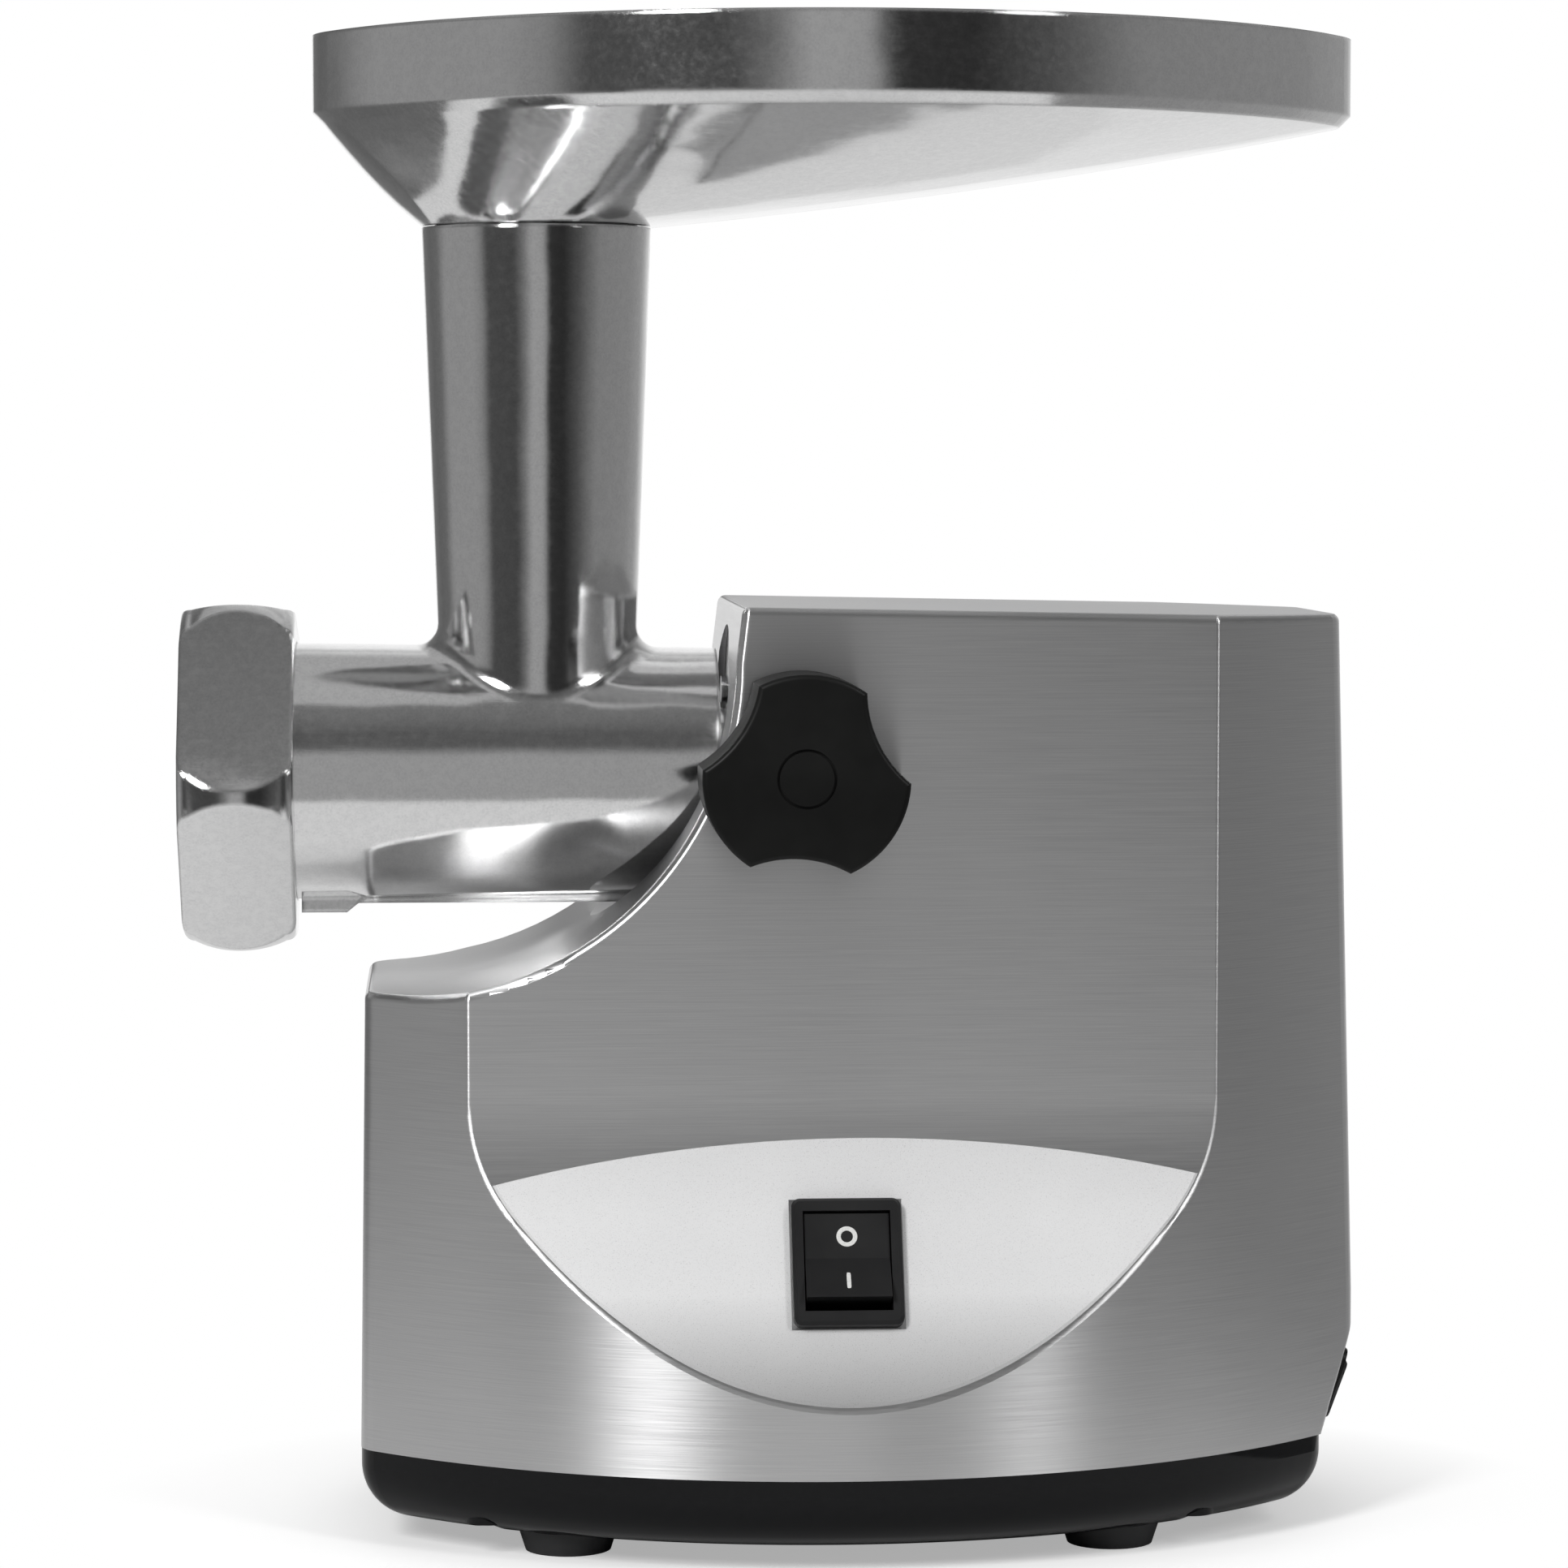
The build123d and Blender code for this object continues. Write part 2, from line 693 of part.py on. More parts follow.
def four_arcs(half_length, half_width, centre_x, z, tip_share):
    tip_angle = math.radians(tip_share)
    u, y = half_length * math.cos(tip_angle), half_width * math.sin(tip_angle)
    side = ThreePointArc((-u, y), (0, half_width), (u, y))
    right = ThreePointArc((u, y), (half_length, 0), (u, -y))
    other = ThreePointArc((u, -y), (0, -half_width), (-u, -y))
    left = ThreePointArc((-u, -y), (-half_length, 0), (-u, y))
    return Pos(centre_x, 0, z) * make_face([side, right, other, left])


def tray_tip_reach():
    drop = tray_side_radius - tray_half_width
    return math.sqrt((tray_side_radius - tray_tip_radius) ** 2 - drop**2) + tray_tip_radius


tray_centre_x = tray_end_x - tray_tip_reach()


def tray_outline(inset, z):
    return rounded_lens(tray_side_radius, tray_half_width, tray_tip_radius, inset, tray_centre_x, z)


def tray_dish(inset, rise):
    mid_length = (tray_mid_right_x - tray_mid_left_x) / 2
    mid_x = (tray_mid_right_x + tray_mid_left_x) / 2
    neck = tray_neck_radius - inset
    sections = [
        four_arcs(neck, neck, tube_x, tray_neck_z + rise, 25),
        four_arcs(mid_length - inset, tray_mid_half_width - inset, mid_x, tray_mid_z + rise, 20),
        tray_outline(inset + tray_edge, tray_rim_low_z + rise),
    ]
    return loft(sections)


def tray_form(inset, rise, top_z):
    low_z = tray_rim_low_z + rise
    bend_z = low_z + tray_edge
    bend = loft([tray_outline(inset + tray_edge, low_z), tray_outline(inset, bend_z)], ruled=True)
    return tray_dish(inset, rise) + bend + extrude(tray_outline(inset, bend_z), amount=top_z - bend_z)


def make_tray():
    tray = tray_form(0, 0, tray_rim_top_z)
    tray += rod_z(spigot_radius, tube_top_z - spigot_depth, tray_neck_z + cut_over, tube_x, 0)
    tray -= tray_form(tray_wall, tray_wall, tray_rim_top_z + cut_over)
    return tray - rod_z(tube_bore_radius, tube_top_z - spigot_depth - cut_over, tray_mid_z, tube_x, 0)


# Lock knob, its screw and washer, and the socket that takes the neck.

washer_inner_y = -panel_half_width - easy_gap
washer_outer_y = washer_inner_y - clamp_washer_thickness
knob_inner_y = washer_outer_y - easy_gap


def make_knob():
    knob = rod_y(knob_radius, knob_face_y, knob_inner_y, knob_x, knob_z)
    reach = knob_scallop_reach + knob_scallop_radius
    for i in range(knob_lobes):
        angle = math.radians(knob_lobe_turn + 180 / knob_lobes + i * 360 / knob_lobes)
        x, z = knob_x + reach * math.cos(angle), knob_z + reach * math.sin(angle)
        knob -= rod_y(knob_scallop_radius, knob_face_y - cut_over, knob_inner_y + cut_over, x, z)
    front_edges = [e for e in knob.edges() if e.bounding_box().max.Y < knob_face_y + 0.1]
    knob = fillet(front_edges, knob_edge_round)
    start_y = knob_face_y - cut_over
    button = rod_y(knob_button_radius, start_y, knob_face_y + knob_button_height, knob_x, knob_z)
    button_core = knob_button_radius - knob_button_groove
    knob -= button - rod_y(button_core, start_y, knob_face_y + cut_over, knob_x, knob_z)
    ends = (knob_inner_y - screw_grip, knob_inner_y + cut_over)
    return knob - rod_y(screw_radius + running_gap, *ends, knob_x, knob_z)


def make_lock_screw():
    return rod_y(screw_radius, knob_inner_y - screw_grip, -neck_radius - easy_gap, knob_x, knob_z)


def make_clamp_washer():
    washer = rod_y(clamp_washer_radius, washer_outer_y, washer_inner_y, knob_x, knob_z)
    ends = (washer_outer_y - cut_over, washer_inner_y + cut_over)
    return washer - rod_y(screw_radius + easy_gap, *ends, knob_x, knob_z)


def socket_screw_places():
    turns = [2 * math.pi * (i + 0.5) / socket_screw_count for i in range(socket_screw_count)]
    return [
        (socket_screw_circle * math.cos(t), axis_z + socket_screw_circle * math.sin(t))
        for t in turns
    ]


def make_socket():
    flange_x = pocket_floor_x + housing_wall
    socket = rod_x(socket_radius, pocket_floor_x, socket_end_x)
    socket += rod_x(socket_flange_radius, flange_x, flange_x + socket_flange)
    boss_end = -(panel_half_width - housing_wall - easy_gap)
    socket += rod_y(socket_boss_radius, boss_end, 0, knob_x, knob_z)
    socket -= rod_x(neck_radius + socket_gap, pocket_floor_x - cut_over, socket_end_x + cut_over)
    socket -= rod_y(screw_radius + running_gap, boss_end - cut_over, 0, knob_x, knob_z)
    flange_ends = (flange_x - cut_over, flange_x + socket_flange + cut_over)
    for y, z in socket_screw_places():
        socket -= rod_x(socket_screw_radius + running_gap, *flange_ends, y, z)
    return socket


def make_socket_screws():
    end = pocket_floor_x + housing_wall + socket_flange
    screws = []
    for y, z in socket_screw_places():
        screw = rod_x(socket_screw_radius, pocket_floor_x - 0.1, end, y, z)
        ends = (pocket_floor_x - socket_screw_head, pocket_floor_x)
        screws.append(screw + rod_x(socket_screw_head_radius, *ends, y, z))
    return screws


# Gear train: each axis hangs from the one above at a lean from straight down.

def below(upper, distance, lean):
    y = upper[0] + distance * math.sin(math.radians(lean))
    return (y, upper[1] - distance * math.cos(math.radians(lean)))


output_axis = (0.0, axis_z)
centre_three = module_three * (second_pinion_teeth + output_gear_teeth) / 2
centre_two = module_two * (first_pinion_teeth + second_gear_teeth) / 2
centre_one = module_one * (rotor_teeth + first_gear_teeth) / 2
second_axis = below(output_axis, centre_three, lean_three)
first_axis = below(second_axis, centre_two, lean_two)
motor_axis = below(first_axis, centre_one, math.degrees(math.asin(-first_axis[0] / centre_one)))


def involute(angle):
    return math.tan(angle) - angle


def gear_blank(teeth, module, phase, start, face, axis):
    pitch_radius = teeth * module / 2
    base_radius = pitch_radius * math.cos(math.radians(pressure_angle))
    tip_radius = pitch_radius + addendum * module
    root_radius = pitch_radius - dedendum * module
    half_tooth = math.pi / (2 * teeth) - backlash / (4 * pitch_radius)
    half_tooth += involute(math.radians(pressure_angle))
    low_radius = max(base_radius, root_radius)
    radii = [low_radius, (low_radius + tip_radius) / 2, tip_radius]
    flank = [(r, half_tooth - involute(math.acos(base_radius / r))) for r in radii]
    if root_radius < base_radius:
        flank.insert(0, (root_radius, flank[0][1]))
    points = []
    for i in range(teeth):
        middle = phase + 2 * math.pi * i / teeth
        points += [(r, middle - a) for r, a in flank]
        points += [(r, middle + a) for r, a in reversed(flank)]
    outline = Polyline(*[(r * math.cos(a), r * math.sin(a)) for r, a in points], close=True)
    return Pos(start, *axis) * extrude(Plane.YZ * make_face(outline), amount=face)


def mesh_phases(pinion_axis, wheel_axis, wheel_teeth):
    towards = math.atan2(wheel_axis[1] - pinion_axis[1], wheel_axis[0] - pinion_axis[0])
    return towards, towards + math.pi + math.pi / wheel_teeth


def make_pinion_shaft(teeth, module, phase, start, face, axis, radius):
    shaft = rod_x(radius, front_plate_x - bush_stand, rear_plate_x + plate_gauge + bush_stand, *axis)
    width = face + 2 * pinion_overhang
    return shaft + gear_blank(teeth, module, phase, start - pinion_overhang, width, axis)


def make_wheel(teeth, module, phase, start, face, axis, radius):
    wheel = gear_blank(teeth, module, phase, start, face, axis)
    return wheel - rod_x(radius + running_gap, start - cut_over, start + face + cut_over, *axis)


def make_spindle():
    spindle = rod_x(spindle_radius, socket_end_x + 2, rear_plate_x + plate_gauge + bush_stand)
    tip_x = neck_end_x - hex_depth + 2
    tip = Plane((tip_x, 0, axis_z), x_dir=(0, 1, 0), z_dir=(1, 0, 0))
    hexagon = RegularPolygon(hex_across / 2, 6, major_radius=False)
    return spindle + extrude(tip * hexagon, amount=socket_end_x + 3 - tip_x)


def bush(radius, start, axis):
    outer = radius + running_gap + bush_wall
    ends = (start - bush_stand, start + plate_gauge + bush_stand)
    return tube_along_x(outer, radius + running_gap, *ends, *axis)


def shaft_seats():
    return [
        (spindle_radius, output_axis),
        (second_shaft_radius, second_axis),
        (first_shaft_radius, first_axis),
    ]


def gear_post_places():
    return [(j * gear_post_y, z) for j in (-1, 1) for z in (gear_post_low_z, gear_post_high_z)]


def motor_bolt_places():
    return [
        (motor_axis[0] + j * motor_bolt_offset, motor_axis[1] + k * motor_bolt_offset)
        for j, k in ((-1, 1), (1, -1))
    ]


def gear_plate(start):
    plate = span_box(
        (start, start + plate_gauge),
        (-plate_half_width, plate_half_width),
        (plate_foot_z, plate_top_z),
    )
    ends = (start - cut_over, start + plate_gauge + cut_over)
    for radius, axis in shaft_seats():
        plate -= rod_x(radius + 2 * running_gap + bush_wall, *ends, *axis)
    for place in gear_post_places():
        plate -= rod_x(gear_screw_radius + running_gap, *ends, *place)
    return plate


def make_front_plate():
    plate = gear_plate(front_plate_x)
    ends = (front_plate_x - cut_over, front_plate_x + plate_gauge + cut_over)
    plate -= rod_x(bearing_radius + running_gap, *ends, *motor_axis)
    for place in motor_bolt_places():
        plate -= rod_x(motor_bolt_radius + running_gap, *ends, *place)
    return plate


def make_gear_posts():
    start, end = front_plate_x + plate_gauge, rear_plate_x
    posts = []
    for place in gear_post_places():
        post = rod_x(gear_post_radius, start, end, *place)
        hole_radius = gear_screw_radius + running_gap
        post -= rod_x(hole_radius, start - cut_over, start + gear_screw_reach, *place)
        posts.append(post - rod_x(hole_radius, end - gear_screw_reach, end + cut_over, *place))
    return posts


def make_gear_screws():
    screws = []
    reach = gear_screw_reach - 1
    front_face, rear_face = front_plate_x, rear_plate_x + plate_gauge
    for place in gear_post_places():
        front = rod_x(gear_screw_radius, front_face - 0.1, front_face + plate_gauge + reach, *place)
        ends = (front_face - gear_screw_head, front_face)
        screws.append(front + rod_x(gear_screw_head_radius, *ends, *place))
        rear = rod_x(gear_screw_radius, rear_face - plate_gauge - reach, rear_face + 0.1, *place)
        screws.append(rear + rod_x(gear_screw_head_radius, rear_face, rear_face + gear_screw_head, *place))
    return screws


# Motor.

def make_stator():
    plane = Plane((stator_rear_x, *motor_axis), x_dir=(0, 1, 0), z_dir=(1, 0, 0))
    length = stator_front_x - stator_rear_x
    stack = extrude(plane * RectangleRounded(stator_side, stator_side, stator_round), amount=length)
    ends = (stator_rear_x - cut_over, stator_front_x + cut_over)
    stack -= rod_x(stator_bore_radius, *ends, *motor_axis)
    for place in motor_bolt_places():
        stack -= rod_x(motor_bolt_radius + running_gap, *ends, *place)
    for side in (-1, 1):
        stack -= coil(side, easy_gap / 2)
    return stack


def coil(side, grow):
    start, end = stator_rear_x - coil_overhang, stator_front_x + coil_overhang
    ring = tube_along_x(coil_outer_radius + grow, coil_inner_radius - grow, start, end, *motor_axis)
    half = math.radians(coil_span / 2)
    far = 3 * coil_outer_radius
    wide, high = far * math.sin(half), far * math.cos(half)
    wedge = [(0, 0), (wide, high), (-wide, high)]
    face = make_face(Polyline(*[(y, side * z) for y, z in wedge], close=True))
    sector = Pos(start - cut_over, *motor_axis) * extrude(Plane.YZ * face, amount=end - start + 2)
    return ring & sector


def make_rotor_core():
    core = rod_x(stator_bore_radius - rotor_gap, stator_rear_x, stator_front_x, *motor_axis)
    ends = (stator_rear_x - rotor_winding_overhang, stator_front_x + rotor_winding_overhang)
    core += rod_x(rotor_winding_radius, *ends, *motor_axis)
    return core - rod_x(motor_shaft_radius + running_gap, ends[0] - cut_over, ends[1] + cut_over, *motor_axis)


def make_rotor_shaft():
    phase = mesh_phases(motor_axis, first_axis, first_gear_teeth)[0]
    collar_x = front_plate_x + plate_gauge + bush_stand
    start = stage_one_x - pinion_overhang
    length = stage_one_face + 2 * pinion_overhang
    shaft = rod_x(motor_shaft_radius, bracket_x - bush_stand, collar_x, *motor_axis)
    shaft += rod_x(motor_pinion_core_radius, collar_x - cut_over, start + length, *motor_axis)
    return shaft + gear_blank(rotor_teeth, module_one, phase, start, length, motor_axis)


def make_fan():
    hub = rod_x(fan_hub_radius, fan_rear_x, fan_front_x, *motor_axis)
    fan = hub + rod_x(fan_radius, fan_front_x - fan_disc, fan_front_x, *motor_axis)
    blade = span_box(
        (fan_rear_x, fan_front_x - fan_disc + 0.2),
        (fan_hub_radius - cut_over, fan_radius - cut_over),
        (-fan_blade_gauge / 2, fan_blade_gauge / 2),
    )
    for i in range(fan_blades):
        fan += Pos(0, *motor_axis) * Rot(i * 360 / fan_blades, 0, 0) * blade
    ends = (fan_rear_x - cut_over, fan_front_x + cut_over)
    return fan - rod_x(motor_shaft_radius + running_gap, *ends, *motor_axis)


def make_bracket():
    half = stator_side / 2
    y, z = motor_axis
    gauge = (bracket_x, bracket_x + bracket_gauge)
    bracket = span_box(gauge, (y - half, y + half), (plate_foot_z, z + half))
    ends = (bracket_x - cut_over, bracket_x + bracket_gauge + cut_over)
    bracket -= rod_x(bearing_radius + running_gap, *ends, *motor_axis)
    for place in motor_bolt_places():
        bracket -= rod_x(motor_bolt_radius + running_gap, *ends, *place)
    return bracket


def make_bearings():
    rings = []
    for middle in (bracket_x + bracket_gauge / 2, front_plate_x + plate_gauge / 2):
        ends = (middle - bearing_width / 2, middle + bearing_width / 2)
        rings.append(tube_along_x(bearing_radius, motor_shaft_radius + running_gap, *ends, *motor_axis))
    return rings


def make_motor_bolts():
    bolts = []
    for place in motor_bolt_places():
        bolt = rod_x(motor_bolt_radius, bracket_x - 0.1, front_plate_x + plate_gauge, *place)
        bolts.append(bolt + rod_x(motor_bolt_head_radius, bracket_x - motor_bolt_head, bracket_x, *place))
    return bolts


def brush_block(side, near, far, x_span, half_height):
    y_span = sorted((motor_axis[0] + side * near, motor_axis[0] + side * far))
    return span_box(x_span, y_span, (motor_axis[1] - half_height, motor_axis[1] + half_height))


def make_brush_holders():
    holders = []
    x_span = (bracket_x + bracket_gauge, brush_rear_x + brush_width + 2)
    slot = (brush_rear_x - running_gap, brush_rear_x + brush_width + running_gap)
    for side in (-1, 1):
        block = brush_block(side, holder_inner, holder_outer, x_span, holder_half_height)
        tall = brush_half_height + running_gap
        ends = (holder_inner - cut_over, holder_outer + cut_over)
        holders.append(block - brush_block(side, *ends, slot, tall))
    return holders


def make_brushes():
    x_span = (brush_rear_x, brush_rear_x + brush_width)
    near = commutator_radius + easy_gap
    return [brush_block(side, near, brush_outer, x_span, brush_half_height) for side in (-1, 1)]


# Switches on the console and on the tucked rear face.

def console_y(z):
    return -(panel_half_width + (knee_z - z) * math.tan(math.radians(console_angle)))


console_normal = (0, -math.cos(math.radians(console_angle)), math.sin(math.radians(console_angle)))
power_plane = Plane((power_x, console_y(power_z), power_z), x_dir=(1, 0, 0), z_dir=console_normal)
tuck_run, tuck_rise = housing_rear_x - tuck_seam_x, tuck_top_z - seam_z
tuck_length = math.hypot(tuck_run, tuck_rise)
tuck_normal = (tuck_rise / tuck_length, 0, -tuck_run / tuck_length)
tuck_up = (tuck_run / tuck_length, 0, tuck_rise / tuck_length)
tuck_middle = ((housing_rear_x + tuck_seam_x) / 2, 0, (tuck_top_z + seam_z) / 2)
tuck_plane = Plane(tuck_middle, x_dir=(0, 1, 0), z_dir=tuck_normal)
reverse_origin = tuck_plane.from_local_coords((reverse_y, -reverse_drop, rear_panel_gauge))
reverse_plane = Plane(reverse_origin, x_dir=tuck_up, z_dir=tuck_normal)


def neck_size(bezel):
    return bezel[0] - 2 * bezel_ledge, bezel[1] - 2 * bezel_ledge


def switch_hole(plane, bezel, depth):
    width, length = neck_size(bezel)
    hole = Box(width + 2 * easy_gap, length + 2 * easy_gap, 2 * depth)
    seat = Pos(0, 0, depth / 2) * Box(bezel[0] + 2 * easy_gap, bezel[1] + 2 * easy_gap, depth)
    return plane * (hole + seat)


def rocker_swing(rocker):
    half = rocker[1]
    return half + (rocker_pivot_depth + rocker_dip + 2.6) * math.sin(math.radians(rocker_tilt))


def make_switch_body(plane, bezel, rocker, depth):
    width, length = neck_size(bezel)
    frame = extrude(RectangleRounded(bezel[0], bezel[1], bezel_round), amount=bezel[2])
    frame = chamfer(frame.faces().sort_by(Axis.Z)[-1].edges(), bezel_bevel)
    body = frame + Pos(0, 0, -depth / 2) * Box(width, length, depth)
    opening = (rocker[0] + 2 * easy_gap, 2 * (rocker_swing(rocker) + easy_gap))
    well = rocker_pivot_depth + rocker_belly + 2
    top = bezel[2] + cut_over
    body -= Pos(0, 0, (top - well) / 2) * Box(*opening, top + well)
    trunnion_bore = Cylinder(trunnion_radius + running_gap, bezel[0])
    return plane * (body - Pos(0, 0, -rocker_pivot_depth) * Rot(0, 90, 0) * trunnion_bore)


def make_rocker(plane, bezel, rocker):
    width, half = rocker
    crest = bezel[2] + rocker_stand
    low = -rocker_pivot_depth - rocker_belly
    profile = [
        (-half, crest),
        (0, crest - rocker_dip),
        (half, crest),
        (half - rocker_taper, low + rocker_skirt),
        (half / 3, low),
        (-half / 3, low),
        (rocker_taper - half, low + rocker_skirt),
    ]
    face = make_face(Polyline(*[(0, y, z) for y, z in profile], close=True))
    block = extrude(face, amount=width / 2, both=True)
    trunnion = Cylinder(trunnion_radius, width + 2 * (easy_gap + trunnion_bite))
    block += Pos(0, 0, -rocker_pivot_depth) * Rot(0, 90, 0) * trunnion
    pivot = Axis((0, 0, -rocker_pivot_depth), (1, 0, 0))
    return plane * block.rotate(pivot, -rocker_tilt)


# Label, rear panel, gland and wiring blocks.

def make_label():
    low_z = seam_z
    skin = end_profile(-label_gauge, low_z) - end_profile(0, low_z)
    span = (low_z, housing_top_z)
    plan = lens(housing_side_radius, housing_half_width, label_margin, *span, housing_centre_x)
    disc = rod_y(label_top_radius, -2 * housing_half_width, 0, label_top_x, label_top_z - label_top_radius)
    width, length = power_bezel[0] + 2 * label_switch_gap, power_bezel[1] + 2 * label_switch_gap
    return (skin & plan & disc) - power_plane * Box(width, length, 2 * power_bezel[2])


def make_rear_panel():
    outline = Pos(0, -rear_panel_drop) * RectangleRounded(*rear_panel_size, rear_panel_round)
    panel = extrude(outline, amount=rear_panel_gauge)
    panel -= Pos(gland_y, -gland_drop, 0) * Cylinder(gland_radius + running_gap, 4 * rear_panel_gauge)
    return tuck_plane * panel - switch_hole(reverse_plane, reverse_bezel, reverse_body_depth)


def make_gland():
    gland = Cylinder(gland_radius, gland_depth + rear_panel_gauge)
    gland = Pos(0, 0, (rear_panel_gauge - gland_depth) / 2) * gland
    flange = Cone(gland_flange_radius, gland_radius, gland_flange)
    gland += Pos(0, 0, rear_panel_gauge + gland_flange / 2) * flange
    gland -= Cylinder(gland_bore_radius, 4 * gland_depth)
    return tuck_plane * Pos(gland_y, -gland_drop, 0) * gland


def floor_block(size, place):
    return Pos(*place, base_floor_z + size[2] / 2) * Box(*size)


def all_parts():
    second_phase, output_phase = mesh_phases(second_axis, output_axis, output_gear_teeth)
    first_phase, second_wheel_phase = mesh_phases(first_axis, second_axis, second_gear_teeth)
    first_wheel_phase = mesh_phases(motor_axis, first_axis, first_gear_teeth)[1]
    stage_one = (stage_one_x, stage_one_face)
    stage_two = (stage_two_x, stage_two_face)
    stage_three = (stage_three_x, stage_three_face)
    plates = (front_plate_x, rear_plate_x)
    return {
        "housing_shell": make_housing(),
        "base_pan": make_base(),
        "rubber_feet": make_feet(),
        "base_screws": make_base_screws(),
        "grinder_head": make_head(),
        "neck_bush": make_neck_bush(),
        "plate_key_pin": make_key_pin(),
        "auger": make_auger(),
        "auger_washer": make_auger_washer(),
        "knife": make_knife(),
        "grinding_plate": make_plate(),
        "ring_nut": make_nut(),
        "hopper_tray": make_tray(),
        "lock_knob": make_knob(),
        "lock_screw": make_lock_screw(),
        "clamp_washer": make_clamp_washer(),
        "head_socket": make_socket(),
        "socket_screws": make_socket_screws(),
        "output_spindle": make_spindle(),
        "output_gear": make_wheel(
            output_gear_teeth, module_three, output_phase, *stage_three, output_axis, spindle_radius
        ),
        "second_layshaft": make_pinion_shaft(
            second_pinion_teeth, module_three, second_phase, *stage_three, second_axis, second_shaft_radius
        ),
        "second_gear": make_wheel(
            second_gear_teeth, module_two, second_wheel_phase, *stage_two, second_axis, second_shaft_radius
        ),
        "first_layshaft": make_pinion_shaft(
            first_pinion_teeth, module_two, first_phase, *stage_two, first_axis, first_shaft_radius
        ),
        "first_gear": make_wheel(
            first_gear_teeth, module_one, first_wheel_phase, *stage_one, first_axis, first_shaft_radius
        ),
        "gearbox_front_plate": make_front_plate(),
        "gearbox_rear_plate": gear_plate(rear_plate_x),
        "gearbox_posts": make_gear_posts(),
        "gearbox_screws": make_gear_screws(),
        "spindle_bushes": [bush(spindle_radius, start, output_axis) for start in plates],
        "layshaft_bushes": [
            bush(radius, start, axis) for radius, axis in shaft_seats()[1:] for start in plates
        ],
        "motor_stator": make_stator(),
        "field_coils": [coil(side, 0) for side in (-1, 1)],
        "rotor_shaft": make_rotor_shaft(),
        "rotor_core": make_rotor_core(),
        "commutator": tube_along_x(
            commutator_radius,
            motor_shaft_radius + running_gap,
            commutator_rear_x,
            commutator_front_x,
            *motor_axis,
        ),
        "cooling_fan": make_fan(),
        "motor_rear_bracket": make_bracket(),
        "motor_bearings": make_bearings(),
        "motor_bolts": make_motor_bolts(),
        "brush_holders": make_brush_holders(),
        "carbon_brushes": make_brushes(),
        "power_switch_body": make_switch_body(power_plane, power_bezel, power_rocker, power_body_depth),
        "power_rocker": make_rocker(power_plane, power_bezel, power_rocker),
        "reverse_switch_body": make_switch_body(
            reverse_plane, reverse_bezel, reverse_rocker, reverse_body_depth
        ),
        "reverse_rocker": make_rocker(reverse_plane, reverse_bezel, reverse_rocker),
        "control_label": make_label(),
        "rear_panel": make_rear_panel(),
        "cord_gland": make_gland(),
        "terminal_block": floor_block(terminal_size, (terminal_x, terminal_y)),
        "suppressor_capacitor": floor_block(capacitor_size, (capacitor_x, capacitor_y)),
    }


def pivot_of(plane):
    return plane.from_local_coords((0, 0, -rocker_pivot_depth))


os.makedirs("parts", exist_ok=True)
for node, shape in all_parts().items():
    solids = shape if isinstance(shape, list) else [shape]
    solids = [s for piece in solids for s in piece.solids()]
    export_step(Compound(children=solids) if len(solids) > 1 else solids[0], f"parts/{node}.step")

print("axes (y, z): second", second_axis, "first", first_axis, "motor", motor_axis)
print("power rocker pivot", pivot_of(power_plane), "axis", power_plane.x_dir)
print("reverse rocker pivot", pivot_of(reverse_plane), "axis", reverse_plane.x_dir)
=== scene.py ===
import bpy
import bmesh
import math
import numpy as np
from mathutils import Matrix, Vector


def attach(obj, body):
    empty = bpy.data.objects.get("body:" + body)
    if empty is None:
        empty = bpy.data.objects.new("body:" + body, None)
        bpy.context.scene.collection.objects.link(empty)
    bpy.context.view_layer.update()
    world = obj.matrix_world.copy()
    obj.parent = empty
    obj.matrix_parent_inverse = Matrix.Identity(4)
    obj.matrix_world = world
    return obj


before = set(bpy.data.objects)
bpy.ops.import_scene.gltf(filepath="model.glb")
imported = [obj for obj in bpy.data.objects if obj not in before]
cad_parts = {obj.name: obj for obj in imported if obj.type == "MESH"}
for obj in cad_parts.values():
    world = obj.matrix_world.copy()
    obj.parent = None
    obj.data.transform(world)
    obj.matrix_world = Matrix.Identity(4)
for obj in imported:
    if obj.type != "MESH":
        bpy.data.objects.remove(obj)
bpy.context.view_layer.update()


# finishes: small helpers that wire one node each

# a new finish with some shader sockets set by their titles, _ standing for a blank
def startFinish(name, **sockets):
    finish = bpy.data.materials.new(name)
    finish.use_nodes = True
    shader = finish.node_tree.nodes["Principled BSDF"]
    for socket, value in sockets.items():
        title = socket.replace("_", " ")
        shader.inputs[title].default_value = (*value, 1.0) if isinstance(value, tuple) else value
    return finish, finish.node_tree, shader


def addNode(tree, kind, **settings):
    node = tree.nodes.new(kind)
    for key, value in settings.items():
        setattr(node, key, value)
    return node


def joined(tree, source, target):
    tree.links.new(source, target)


# noise on Object coordinates; stretch is how many grains fit in a metre along X, Y and Z
def grain(tree, stretch, detail=3.0, sharp=0.55, turn=(0.0, 0.0, 0.0)):
    place = addNode(tree, "ShaderNodeTexCoord")
    mapping = addNode(tree, "ShaderNodeMapping")
    mapping.inputs["Scale"].default_value = stretch
    mapping.inputs["Rotation"].default_value = turn
    noise = addNode(tree, "ShaderNodeTexNoise")
    noise.inputs["Scale"].default_value = 1.0
    noise.inputs["Detail"].default_value = detail
    noise.inputs["Roughness"].default_value = sharp
    joined(tree, place.outputs["Object"], mapping.inputs["Vector"])
    joined(tree, mapping.outputs["Vector"], noise.inputs["Vector"])
    return noise.outputs["Fac"]


